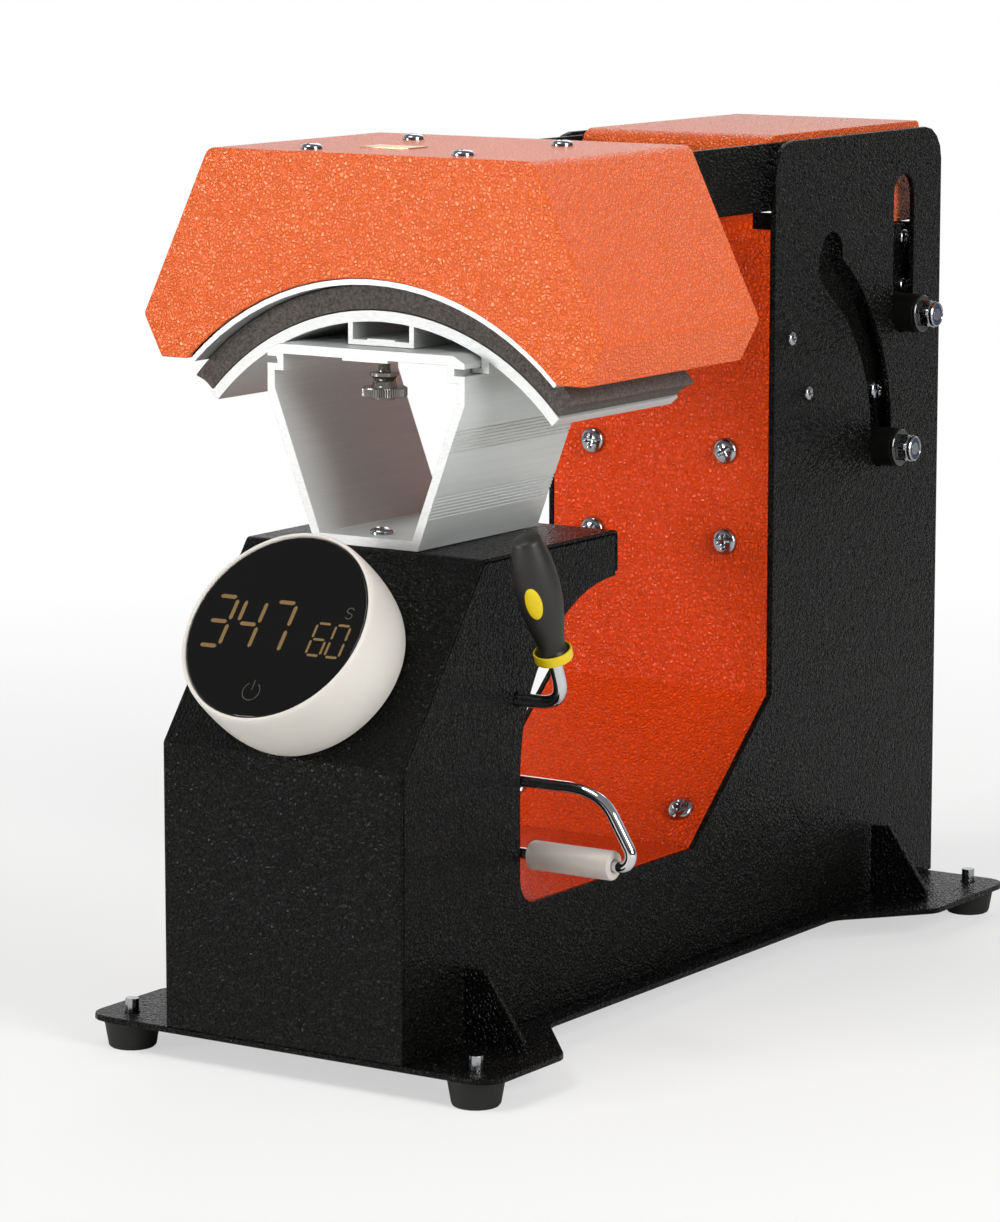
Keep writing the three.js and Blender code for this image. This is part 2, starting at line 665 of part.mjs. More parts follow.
// Lever shaft across the pedestal, bent up into the handle
const leverX = 77;
const leverLean = THREE.MathUtils.degToRad(20.6);
const leverBend = 7;
const leverRise = 14;
const tangEnd = 52;
const shaftEnd = -63;
const leverGroup = new THREE.Group();
leverGroup.position.set(0, shaftY, shaftZ);
press.add(leverGroup);
const leverUp = new THREE.Vector3(0, -Math.sin(leverLean), Math.cos(leverLean));
const bendCorner = new THREE.Vector3(leverX, 0, 0);
const bendStart = new THREE.Vector3(leverX - leverBend, 0, 0);
const bendEnd = bendCorner.clone().addScaledVector(leverUp, leverBend);
const shaftCurves = [
  new THREE.LineCurve3(new THREE.Vector3(shaftEnd, 0, 0), bendStart),
  new THREE.QuadraticBezierCurve3(bendStart, bendCorner, bendEnd),
  new THREE.LineCurve3(bendEnd, bendCorner.clone().addScaledVector(leverUp, tangEnd)),
];

// Centre line that gives one ring of a wire at each of its stations, evenly in its own parameter
class StationCurve extends THREE.Curve {
  constructor(curves, bendSteps = 5) {
    super();
    this.stations = [];
    curves.forEach((curve, i) => {
      const steps = curve.isLineCurve3 ? 1 : bendSteps;
      for (let k = i ? 1 : 0; k <= steps; k++) {
        this.stations.push({ at: curve.getPoint(k / steps), along: curve.getTangent(k / steps) });
      }
    });
    this.count = this.stations.length - 1;
  }

  getPoint(share) {
    return this.stations[Math.round(share * this.count)].at.clone();
  }

  getPointAt(share) {
    return this.getPoint(share);
  }

  getTangentAt(share) {
    return this.stations[Math.round(share * this.count)].along.clone();
  }
}

// Round wire along the curves
function wire(curves, radius, sides = 10) {
  const section = new THREE.Shape(circlePath(0, 0, radius, sides).getPoints());
  const path = new StationCurve(curves);
  return new THREE.ExtrudeGeometry(section, { steps: path.count, extrudePath: path, bevelEnabled: false });
}
add('lever_shaft', wire(shaftCurves, shaftRadius, 12), chromed, leverGroup);

// Handle along the lever: yellow ferrule, black grip and a yellow oval let into it
const handleGroup = new THREE.Group();
handleGroup.position.copy(bendCorner);
handleGroup.rotation.x = leverLean;
leverGroup.add(handleGroup);
const tangFit = 0.3;
const ferruleRadius = 7.6;
const ferruleHeight = 7.4;
const gripLength = 49;
const boreRadius = shaftRadius + tangFit;
const gripStart = leverRise + ferruleHeight + seatGap;
add('handle_ferrule', turnedRing([
  [boreRadius, leverRise], [ferruleRadius * 0.8, leverRise], [ferruleRadius, leverRise + ferruleHeight * 0.3],
  [ferruleRadius, leverRise + ferruleHeight * 0.8], [ferruleRadius * 0.92, leverRise + ferruleHeight],
  [boreRadius, leverRise + ferruleHeight],
], 18), yellowPlastic, handleGroup);
const gripRadiusShares = [0.82, 0.99, 1, 0.84, 0.66, 0.6, 0.55, 0.36];
const gripHeightShares = [0, 0.09, 0.26, 0.52, 0.75, 0.9, 0.97, 1];
const gripRadius = 9.6;
const tangGap = 1;
const gripOuter = gripRadiusShares.map((share, i) => [
  gripRadius * share, gripStart + gripLength * gripHeightShares[i]]);
const tangTop = tangEnd + tangGap;
const gripBlank = turned([
  [0, tangTop], [boreRadius, tangTop], [boreRadius, gripStart], ...gripOuter, [0, gripStart + gripLength],
], 20);
const inlayAzimuth = THREE.MathUtils.degToRad(33);
const inlayHalfWidth = 3.4;
const inlayHalfHeight = 7;
const inlayRise = 17;
const inlayDepth = 5;
const inlayShape = (half, tall) => Array.from({ length: 14 }, (_, i) => {
  const angle = 2 * Math.PI * i / 14;
  return new THREE.Vector2(half * Math.cos(angle), gripStart + inlayRise + tall * Math.sin(angle));
});
function facing(geometry) {
  return geometry.rotateZ(inlayAzimuth);
}
const inlayPocket = facing(alongY(inlayShape(inlayHalfWidth + tangFit, inlayHalfHeight + tangFit),
  -gripRadius - cutOverrun, -inlayDepth));
const inlayPrism = facing(alongY(inlayShape(inlayHalfWidth, inlayHalfHeight),
  -gripRadius - cutOverrun, -inlayDepth - tangFit));
const gripSkin = turned([[0, gripStart], ...gripOuter.map(([r, z]) => [r + tangFit, z]), [0, gripStart + gripLength]], 20);
add('handle_grip', cut(gripBlank, inlayPocket), blackPlastic, handleGroup);
add('grip_inlay', fromSolid(solid(inlayPrism).intersect(solid(gripSkin))), yellowPlastic, handleGroup);

// Spring clip on the shaft's left end
const clipRadius = 5.5;
const clipWidth = 1.2;
const clipX = -halfBody - seatGap;
add('shaft_clip', alongX(circlePath(0, 0, clipRadius, 14).getPoints(), clipX - clipWidth, clipX,
  [circlePath(0, 0, shaftRadius + screwFit, 12)]), zinc, leverGroup);

// Swing bracket: two arms and a hub tube clamped on the shaft; the bails are screwed into the arms
const bailY = 86.5 - shaftY;
const bailTopZ = 99.6 - shaftZ;
const bailLowZ = 69.2 - shaftZ;
const bailRadius = 2;
const bailFit = 0.2;
const armHubRadius = 7;
const armTipRadius = 5.5;
const hubTubeRadius = 5.4;
const hubFit = 0.25;
const armOutline = (() => {
  const hub = new THREE.Vector2(0, 0);
  const tip = new THREE.Vector2(bailY, bailLowZ);
  const lean = Math.atan2(tip.x - hub.x, hub.y - tip.y);
  const points = [];
  for (let i = 0; i <= 10; i++) {
    const angle = lean + Math.PI * i / 10;
    points.push(new THREE.Vector2(armHubRadius * Math.cos(angle), armHubRadius * Math.sin(angle)));
  }
  for (let i = 0; i <= 8; i++) {
    const angle = lean + Math.PI + Math.PI * i / 8;
    points.push(new THREE.Vector2(tip.x + armTipRadius * Math.cos(angle), tip.y + armTipRadius * Math.sin(angle)));
  }
  return points;
})();
const armHoles = () => [
  circlePath(0, 0, shaftRadius + hubFit, 12),
  circlePath(bailY, bailTopZ, bailRadius + bailFit, 10),
  circlePath(bailY, bailLowZ, bailRadius + bailFit, 10),
];
const hubTube = alongX(circlePath(0, 0, hubTubeRadius, 14).getPoints(),
  -armInner - armThickness / 2, armInner + armThickness / 2, [circlePath(0, 0, shaftRadius + hubFit, 12)]);
add('swing_bracket', join(
  alongX(armOutline, -armOuter, -armInner, armHoles()),
  alongX(armOutline, armInner, armOuter, armHoles()), hubTube), blackPowder, leverGroup);

// Bails: one bent wire on each side, both ends held in the arm, a roller on its lower leg
const bailOut = 108;
const bailShoulderX = 80;
const bailKneeZ = 78 - shaftZ;
const bailFootX = 103;
const bailInnerEnd = armInner - 4;
const rollerInner = 59.2;
const rollerLength = 42.5;
const rollerOuter = 6;
const rollerBore = 0.4;
for (const [side, sideName] of [[-1, 'left'], [1, 'right']]) {
  const at = (x, z) => new THREE.Vector3(side * x, bailY, z);
  const bailCurves = [
    new THREE.LineCurve3(at(bailInnerEnd, bailTopZ), at(bailShoulderX, bailTopZ)),
    new THREE.CubicBezierCurve3(at(bailShoulderX, bailTopZ), at(bailShoulderX + 15, bailTopZ),
      at(bailOut - 7, bailKneeZ + 12), at(bailOut, bailKneeZ)),
    new THREE.CubicBezierCurve3(at(bailOut, bailKneeZ), at(bailOut + 2.5, bailKneeZ - 5),
      at(bailFootX + 4, bailLowZ), at(bailFootX, bailLowZ)),
    new THREE.LineCurve3(at(bailFootX, bailLowZ), at(bailInnerEnd, bailLowZ)),
  ];
  add(`bail_${sideName}`, wire(bailCurves, bailRadius), chromed, leverGroup);
  const rollerBody = turnedRing([
    [bailRadius + rollerBore, 0], [rollerOuter - 1, 0], [rollerOuter, 1], [rollerOuter, rollerLength - 1],
    [rollerOuter - 1, rollerLength], [bailRadius + rollerBore, rollerLength],
  ], 16).rotateY(Math.PI / 2);
  const rollerX = side > 0 ? rollerInner : -rollerInner - rollerLength;
  add(`bail_roller_${sideName}`, rollerBody.translate(rollerX, bailY, bailLowZ), nylon, leverGroup);
}

// Control display on the sloped face: fixed core and glass, and the white ring that turns
const displayAlong = 40.3;
const ringRadius = 42.6;
const ringBackRadius = 40;
const ringDepth = 33.5;
const ringWall = 2;
const ringFit = 0.4;
const ringChamfer = 0.7;
const coreRadius = 37.2;
const glassThickness = 1.8;
const glassSink = 0.5;
const glassRadius = ringRadius - ringWall - ringFit;
const displayGroup = new THREE.Group();
const slopeAngle = slopeRun.angle();
displayGroup.position.set(0, slopeRun.clone().setLength(displayAlong).x,
  pedestalHeight + slopeRun.clone().setLength(displayAlong).y);
displayGroup.rotation.x = slopeAngle;
press.add(displayGroup);
const glassTop = ringDepth - glassSink;
const glassBottom = glassTop - glassThickness;
const ringBottom = seatGap * 2;
add('display_ring', turnedRing([
  [ringBackRadius - ringWall, ringBottom], [ringBackRadius, ringBottom], [ringRadius, ringDepth * 0.5],
  [ringRadius, ringDepth - ringChamfer], [ringRadius - ringChamfer, ringDepth],
  [ringRadius - ringWall, ringDepth], [ringRadius - ringWall, ringDepth * 0.5],
], 40), whitePlastic, displayGroup);
add('display_core', turned([
  [0, seatGap], [coreRadius, seatGap], [coreRadius, ringDepth * 0.5], [glassRadius - 1, ringDepth * 0.6],
  [glassRadius - 1, glassBottom - headSeat], [0, glassBottom - headSeat],
], 32), whitePlastic, displayGroup);
add('display_glass', turned([
  [0, glassBottom], [glassRadius, glassBottom], [glassRadius, glassTop - 0.4], [glassRadius - 0.5, glassTop],
  [0, glassTop],
], 40), darkGlass, displayGroup);

// Control board on the inside of the front sheet
const boardHalf = 38;
const boardBottom = 22;
const boardTop = 92;
const boardStandoff = 5;
const boardThickness = 1.6;
const chipHeight = 7;
const boardY = sheetInset + boardStandoff;
const standoffInset = 6;
const standoffRadius = 3;
const boardCorners = [-boardHalf + standoffInset, boardHalf - standoffInset].flatMap((x) => [
  [x, boardBottom + standoffInset], [x, boardTop - standoffInset]]);
add('control_board', join(
  block(-boardHalf, boardHalf, boardY, boardY + boardThickness, boardBottom, boardTop),
  block(-boardHalf / 2, boardHalf / 3, boardY, boardY + boardThickness + chipHeight,
    boardBottom + standoffInset * 2, boardTop - standoffInset * 3),
  ...boardCorners.map(([x, z]) => rod('y', x, z, sheetInset, boardY + boardThickness / 2, standoffRadius, 10))),
circuitGreen);

// Linear actuator on the base plate in the column: flange, gear box, motor and tube
const flangeHalfX = 24;
const flangeThickness = 3;
const tubeRadius = 13;
const tubeTop = 182;
const rodRadius = 6;
const rodFit = 0.4;
const motorRadius = 15;
const motorTop = 78;
const motorOffset = tubeRadius + motorRadius + 2;
const gearTop = 20;
const rodBoreDepth = 110;
const rodReach = 96;
add('actuator_body', cut(
  join(
    block(-flangeHalfX, flangeHalfX, boltY - motorOffset - motorRadius, boltY + tubeRadius, 0, flangeThickness),
    block(-tubeRadius, tubeRadius, boltY - motorOffset - motorRadius, boltY + tubeRadius, 0, gearTop),
    rod('z', 0, boltY, 0, tubeTop, tubeRadius, 24),
    rod('z', 0, boltY - motorOffset, 0, motorTop, motorRadius, 24)),
  rod('z', 0, boltY, tubeTop - rodBoreDepth, tubeTop + cutOverrun, rodRadius + rodFit, 24)), blackPlastic);

// Lifting carriage: upper bolt through the rod's eye, rollers in the straight slots
const boltRadius = 3;
const eyeRadius = 9;
const eyeHalf = 6;
const bushFit = 0.2;
const boltEnd = 75;
const rollerEnd = halfBody + 9;
const nutRadius = 6.2;
const nutHeight = 6;
const rollerStart = cheekOuter + seatGap;
const rodBottom = boltZ - rodReach;
add('actuator_rod', cut(
  join(rod('z', 0, boltY, rodBottom, boltZ, rodRadius, 20), rod('x', boltY, boltZ, -eyeHalf, eyeHalf, eyeRadius, 24)),
  rod('x', boltY, boltZ, -eyeHalf - cutOverrun, eyeHalf + cutOverrun, boltRadius + bushFit, 16)), chromed);

const washerRoom = 1.7;
const nutStart = rollerEnd + washerRoom;
const boreFit = boltRadius + bushFit;
const lowerBolt = lowerBoltAt(0);
for (const [row, y, z] of [['upper', boltY, boltZ], ['lower', lowerBolt.x, lowerBolt.y]]) {
  add(`${row}_bolt`, rod('x', y, z, -boltEnd, boltEnd, boltRadius, 12), zinc);
  for (const [side, sideName] of [[-1, 'left'], [1, 'right']]) {
    const sleeve = (radius, sides, from, to) => alongX(
      circlePath(y, z, radius, sides).getPoints(), side < 0 ? -to : from, side < 0 ? -from : to,
      [circlePath(y, z, boreFit, 12)]);
    add(`${row}_roller_${sideName}`, sleeve(rollerRadius, 20, rollerStart, rollerEnd), blackPlastic);
    add(`${row}_nut_${sideName}`, sleeve(nutRadius, 6, nutStart, nutStart + nutHeight), zinc);
  }
}

// Arm: two cheeks, with holes for the upper bolt, the travelling lower bolt and the cover's screws
const beamTop = 342;
const armFront = 78;
const cheekStepY = 384;
const cheekStepZ = 300;
const cheekRear = 412.4;
const cheekFoot = 190;
const cheekFootRear = 391;
const cheekFootFront = 347;
const cheekWebFront = 318;
const cheekRound = 12;
const guideHoleRadius = guideCrank + boltRadius + 0.6;
const beamFoldRound = 30;
const cheekOutline = rounded([
  [armFront, beamBottom], [cheekWebFront, beamBottom, beamFoldRound], [cheekFootFront, guideZ, cheekRound],
  [cheekFootFront, cheekFoot, cheekRound], [cheekFootRear, cheekFoot, cheekRound],
  [cheekRear, boltZ - cheekRound * 2, cheekRound], [cheekRear, cheekStepZ, cheekRound / 3],
  [cheekStepY, cheekStepZ, cheekRound / 3], [cheekStepY - cheekRound / 2, beamTop, cheekRound / 3],
  [armFront, beamTop],
]);
for (const [name, x] of [['arm_cheek_left', -cheekOuter], ['arm_cheek_right', cheekInner]]) {
  add(name, alongX(cheekOutline, x, x + cheekThickness, [
    circlePath(boltY, boltZ, boltRadius + bushFit, 16), circlePath(guideY, guideZ, guideHoleRadius, 28),
  ]), blackPowder);
}

// Arm web: channel that ties the cheeks behind the head
const webFit = 0.3;
const webHalf = cheekInner - webFit;
const webFront = 186;
const webRear = 272;
const webWall = 2;
const channelUp = (top, bottom) => [
  [-webHalf, bottom], [webHalf, bottom], [webHalf, top], [webHalf - webWall, top],
  [webHalf - webWall, bottom + webWall], [-webHalf + webWall, bottom + webWall],
  [-webHalf + webWall, top], [-webHalf, top],
].map(([x, z]) => new THREE.Vector2(x, z));
add('arm_web', alongY(channelUp(beamTop - webWall, beamBottom + webFit), webFront, webRear), blackPowder);

// Arm cover: orange hood between the cheeks, with side skirts and a rear skirt
const coverTop = 345;
const coverFront = 296;
const coverRear = 416;
const coverSkirt = 325;
const coverRearSkirt = 266;
const coverHalf = webHalf;
const coverOuter = alongX(rounded([
  [coverFront, coverSkirt], [cheekStepY - cheekRound, coverSkirt], [cheekRear - cheekRound, cheekStepZ],
  [cheekRear - cheekRound, coverRearSkirt], [coverRear, coverRearSkirt], [coverRear, coverTop, foldRadius],
  [coverFront, coverTop, foldRadius * 2],
]), -coverHalf, coverHalf);
const coverHollow = block(-coverHalf + sheetThickness, coverHalf - sheetThickness,
  coverFront + sheetThickness, coverRear - sheetThickness, coverRearSkirt - cutOverrun, coverTop - sheetThickness);
add('arm_cover', cut(coverOuter, coverHollow), orangePowder);

// Head housing: folded orange shell with a curved cut under its front and rear walls
const headFront = 60.4;
const headRear = 178;
const headTop = 348.3;
const headTopHalf = 78;
const headWide = 111.2;
const headWideZ = 279.4;
const headBottomHalf = 102.4;
const headBottom = 262.2;
const headFold = 5;
const heaterArc = padRadius + seatGap;
const plateWall = 2.4;
const headArc = heaterArc + plateWall + seatGap;
const headProfile = (inset, floor) => {
  const sideRun = new THREE.Vector2(headWide - headTopHalf, headWideZ - headTop).normalize();
  const shift = inset / Math.abs(sideRun.y);
  return rounded([
    [-headBottomHalf + inset, floor], [headBottomHalf - inset, floor],
    [headWide - inset * 1.1, headWideZ, headFold * 0.6], [headTopHalf - shift + inset * 0.35, headTop - inset, headFold],
    [-headTopHalf + shift - inset * 0.35, headTop - inset, headFold], [-headWide + inset * 1.1, headWideZ, headFold * 0.6],
  ]);
};
const arcCutter = (radius) => {
  const points = [[radius, arcCentre - radius]];
  for (let i = 0; i <= arcSteps * 2; i++) {
    points.push(onArc(radius, Math.PI / 2 - Math.PI * i / (arcSteps * 2)));
  }
  points.push([-radius, arcCentre - radius]);
  return alongY(points.map(([x, z]) => new THREE.Vector2(x, z)),
    headFront - cutOverrun, headRear + cutOverrun);
};
const cheekWindow = block(-cheekOuter - webFit, cheekOuter + webFit, headRear - cutOverrun, headRear + cutOverrun,
  beamBottom - webFit, beamTop + webFit);
add('head_housing', cut(
  alongY(headProfile(0, headBottom), headFront, headRear),
  alongY(headProfile(sheetThickness, headBottom + sheetThickness), headFront + sheetThickness,
    headRear - sheetThickness),
  arcCutter(headArc), cheekWindow), orangePowder);

// Head bracket: inverted channel between the cheeks that carries the housing and the studs
const bracketFront = 66;
const bracketRear = 165;
const bracketTop = headTop - sheetThickness - webFit;
const bracketPlate = 3;
const headBracket = alongY([
  [-webHalf, beamBottom + webWall], [-webHalf + webWall, beamBottom + webWall],
  [-webHalf + webWall, bracketTop - bracketPlate], [webHalf - webWall, bracketTop - bracketPlate],
  [webHalf - webWall, beamBottom + webWall], [webHalf, beamBottom + webWall],
  [webHalf, bracketTop], [-webHalf, bracketTop],
].map(([x, z]) => new THREE.Vector2(x, z)), bracketFront, bracketRear);
add('head_bracket', headBracket, blackPowder);

// Heating plate, heater film and insulation block stacked above the pad
const heaterFront = headFront + sheetThickness + webFit;
const heaterRear = headRear - sheetThickness - webFit;
const heaterHalfAngle = THREE.MathUtils.degToRad(44.5);
const filmWall = 1.4;
const filmHalfAngle = THREE.MathUtils.degToRad(41);
const filmInset = 6;
const woolTop = 310;
const woolHalf = 80;
const woolSideZ = 290;
const studX = 36.5;
const studRows = [88, 138];
const studRadius = 2.5;
const studFit = 0.4;
const plateOuter = heaterArc + plateWall;
const filmInner = plateOuter + seatGap;
const filmOuter = filmInner + filmWall;
const woolArc = filmOuter + seatGap;
const studPlaces = [-1, 1].flatMap((side) => studRows.map((y) => [side * studX, y]));
const studHoles = (from, to) => studPlaces.map(([x, y]) => rod('z', x, y, from, to, studRadius + studFit, 12));
const plateMiddle = heaterArc + plateWall / 2;
const studBottom = arcCentre + Math.sqrt(plateMiddle * plateMiddle - studX * studX);
add('heating_plate', join(
  alongY(arcBand(heaterArc, plateOuter, heaterHalfAngle, arcSteps), heaterFront, heaterRear),
  ...studPlaces.map(([x, y]) => rod(
    'z', x, y, studBottom, bracketTop - bracketPlate - headSeat, studRadius, 12))), bareAluminium);
add('heater_film', cut(alongY(
  arcBand(filmInner, filmOuter, filmHalfAngle, arcSteps), heaterFront + filmInset, heaterRear - filmInset),
...studHoles(arcCentre, beamTop)), heaterFilm);
add('insulation_block', cut(alongY(rounded([
  [-woolHalf, headBottom + sheetThickness * 2], [woolHalf, headBottom + sheetThickness * 2],
  [woolHalf, woolSideZ], [woolHalf / 2, woolTop], [-woolHalf / 2, woolTop], [-woolHalf, woolSideZ],
]), heaterFront, heaterRear), arcCutter(woolArc), ...studHoles(arcCentre, beamTop)), mineralWool);

// The press stands on its feet with its middle over the origin
const displayFront = displayGroup.position.y
  - ringDepth * Math.sin(slopeAngle) - (ringRadius - ringChamfer) * Math.cos(slopeAngle);
const middleY = (displayFront + columnRear + bezelDepth) / 2;
press.position.set(0, -middleY, -floorLevel);

export default press;
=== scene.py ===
import math

import bmesh
import bpy
from mathutils import Matrix, Vector, noise


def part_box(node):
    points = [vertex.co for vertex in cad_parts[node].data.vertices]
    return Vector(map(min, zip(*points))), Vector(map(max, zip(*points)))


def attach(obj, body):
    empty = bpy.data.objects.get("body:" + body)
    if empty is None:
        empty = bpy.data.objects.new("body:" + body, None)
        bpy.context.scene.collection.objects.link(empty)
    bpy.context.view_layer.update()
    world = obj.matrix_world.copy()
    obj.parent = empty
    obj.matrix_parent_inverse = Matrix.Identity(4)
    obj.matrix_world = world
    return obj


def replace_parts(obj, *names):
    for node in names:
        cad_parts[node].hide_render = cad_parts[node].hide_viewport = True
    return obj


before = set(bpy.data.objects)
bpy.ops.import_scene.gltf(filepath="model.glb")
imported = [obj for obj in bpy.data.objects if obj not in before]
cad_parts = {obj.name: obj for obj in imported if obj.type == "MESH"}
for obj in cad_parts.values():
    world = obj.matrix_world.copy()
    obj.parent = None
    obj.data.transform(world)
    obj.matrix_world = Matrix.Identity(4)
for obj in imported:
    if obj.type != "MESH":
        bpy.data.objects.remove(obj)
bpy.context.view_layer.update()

# Studio: a pale paper sweep in a white room. Its right and front walls look darker in reflections, so
# that dark coats and chrome have something to mirror. The camera stands to the press's right, a little
# above the middle, with a long lens, so that upright edges stay nearly parallel.
scene = bpy.context.scene
scene.view_settings.view_transform = "Standard"
sheet_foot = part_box("front_panel")[0]


def at(x, y, z):
    """A place in metres from millimetres right of, behind and above the foot of the front sheet's middle."""
    return Vector((x / 1000, sheet_foot.y + y / 1000, sheet_foot.z + z / 1000))


lens_camera = bpy.data.objects.new("camera", bpy.data.cameras.new("camera"))
scene.collection.objects.link(lens_camera)
scene.camera = lens_camera
lens_camera.data.lens = 141.01
lens_camera.data.sensor_width = 36.0
lens_camera.data.clip_end = 50.0
azimuth, elevation = math.radians(33.43), math.radians(9.25)
level_share = math.cos(elevation)
sight = Vector((-math.sin(azimuth) * level_share, math.cos(azimuth) * level_share, -math.sin(elevation)))
lens_camera.location = at(1084.5, -1486.8, 473.7)
lens_camera.rotation_euler = sight.to_track_quat("-Z", "Y").to_euler()


def linear(code):
    """The linear colour that a socket takes, from an sRGB hex value."""
    parts = [int(code[i:i + 2], 16) / 255 for i in (1, 3, 5)]
    return [c / 12.92 if c <= 0.04045 else ((c + 0.055) / 1.055) ** 2.4 for c in parts] + [1.0]


def add_node(tree, kind, inputs={}, **settings):
    """A shader node with its settings, and its inputs as values or as sockets to link from."""
    made = tree.nodes.new(kind)
    for name, value in settings.items():
        setattr(made, name, value)
    for name, value in inputs.items():
        if isinstance(value, bpy.types.NodeSocket):
            tree.links.new(value, made.inputs[name])
        else:
            made.inputs[name].default_value = value
    return made


world = bpy.data.worlds.new("white room")
scene.world = world
world.use_nodes = True
room = world.node_tree
backdrop = room.nodes["Background"]
rays = add_node(room, "ShaderNodeLightPath")
seen = add_node(room, "ShaderNodeMath", {
    0: rays.outputs["Is Camera Ray"], 1: rays.outputs["Is Glossy Ray"]}, operation="MAXIMUM")
seen_through = add_node(room, "ShaderNodeMath", {
    0: seen.outputs[0], 1: rays.outputs["Is Transmission Ray"]}, operation="MAXIMUM")
room_strength = add_node(room, "ShaderNodeMapRange", {
    "Value": seen_through.outputs[0], "To Min": 0.55, "To Max": 1.0})
room.links.new(room_strength.outputs["Result"], backdrop.inputs["Strength"])
generated = add_node(room, "ShaderNodeTexCoord").outputs["Generated"]
direction = add_node(room, "ShaderNodeSeparateXYZ", {0: generated})
right_wall, front_wall, ceiling = [
    add_node(room, "ShaderNodeMapRange", {
        "Value": direction.outputs[axis], "From Min": start, "From Max": end}).outputs["Result"]
    for axis, start, end in (("X", 0.05, 0.4), ("Y", -0.1, -0.5), ("Z", 0.3, 0.6))]
walls = add_node(room, "ShaderNodeMath", {0: right_wall, 1: front_wall}, operation="MAXIMUM")
low_walls = add_node(room, "ShaderNodeMath", {
    0: walls.outputs[0], 1: ceiling}, operation="SUBTRACT", use_clamp=True)
mirrored = add_node(room, "ShaderNodeMath", {
    0: low_walls.outputs[0], 1: rays.outputs["Is Glossy Ray"]}, operation="MULTIPLY")
pale_room = add_node(room, "ShaderNodeMix", {
    0: ceiling, 6: linear("#ffffff"), 7: linear("#8a8a8c")}, data_type="RGBA")
room_tone = add_node(room, "ShaderNodeMix", {
    0: mirrored.outputs[0], 6: pale_room.outputs[2], 7: linear("#4a4a4c")}, data_type="RGBA")
room.links.new(room_tone.outputs[2], backdrop.inputs["Color"])


def soft_box(name, place, towards, width, height, watts):
    """A rectangular soft lamp that faces a point."""
    lamp = bpy.data.objects.new(name, bpy.data.lights.new(name, "AREA"))
    lamp.data.shape = "RECTANGLE"
    lamp.data.size, lamp.data.size_y = width, height
    lamp.data.energy = watts
    lamp.location = place
    lamp.rotation_euler = (towards - place).to_track_quat("-Z", "Y").to_euler()
    scene.collection.objects.link(lamp)


middle = at(0, 200, 170)
soft_box("key_box", at(-1250, -1850, 400), middle, 0.5, 0.5, 22)
soft_box("top_box", at(-300, -900, 1900), middle, 0.9, 0.7, 16)
soft_box("side_box", at(1900, -300, 900), middle, 0.7, 1.2, 31)
soft_box("rear_box", at(-500, 1700, 1500), middle, 1.4, 0.8, 8)

paper_half = 40.0
paper_corners = [(x * paper_half, y * paper_half, 0) for x, y in ((-1, -1), (1, -1), (1, 1), (-1, 1))]
floor_mesh = bpy.data.meshes.new("floor")
floor_mesh.from_pydata(paper_corners, [], [(0, 1, 2, 3)])
floor = bpy.data.objects.new("floor", floor_mesh)
scene.collection.objects.link(floor)
pale_paper = bpy.data.materials.new("pale paper")
pale_paper.use_nodes = True
paper = pale_paper.node_tree
paper_rays = add_node(paper, "ShaderNodeLightPath")
paper_place = add_node(paper, "ShaderNodeTexCoord").outputs["Object"]
far_off = add_node(paper, "ShaderNodeVectorMath", {0: paper_place}, operation="LENGTH")
sweep = add_node(paper, "ShaderNodeMapRange", {
    "Value": far_off.outputs["Value"], "From Min": 0.25, "From Max": 1.1, "To Min": 0.55, "To Max": 1.0})
lift = add_node(paper, "ShaderNodeMath", {
    0: paper_rays.outputs["Is Camera Ray"], 1: sweep.outputs["Result"]}, operation="MULTIPLY")
white_light = add_node(paper, "ShaderNodeEmission", {"Color": linear("#ffffff"), "Strength": 1.0})
paper_skin = paper.nodes["Principled BSDF"]
paper_skin.inputs["Base Color"].default_value = linear("#f4f4f2")
paper_skin.inputs["Roughness"].default_value = 0.9
paper_mix = add_node(paper, "ShaderNodeMixShader", {
    0: lift.outputs[0], 1: paper_skin.outputs[0], 2: white_light.outputs[0]})
paper.links.new(paper_mix.outputs[0], paper.nodes["Material Output"].inputs["Surface"])
floor_mesh.materials.append(pale_paper)

# Steel frame: the base plate with its welded gussets, two side plates, the folded front sheet, the
# rear cover and the brace. All are laser-cut and folded mild steel, under one black powder coat.


def new_material(name, **values):
    """A material with a principled shader whose sockets hold these values."""
    made = bpy.data.materials.new(name)
    made.use_nodes = True
    shader = made.node_tree.nodes["Principled BSDF"]
    for socket, value in values.items():
        shader.inputs[socket.replace("_", " ")].default_value = value
    return made, made.node_tree, shader


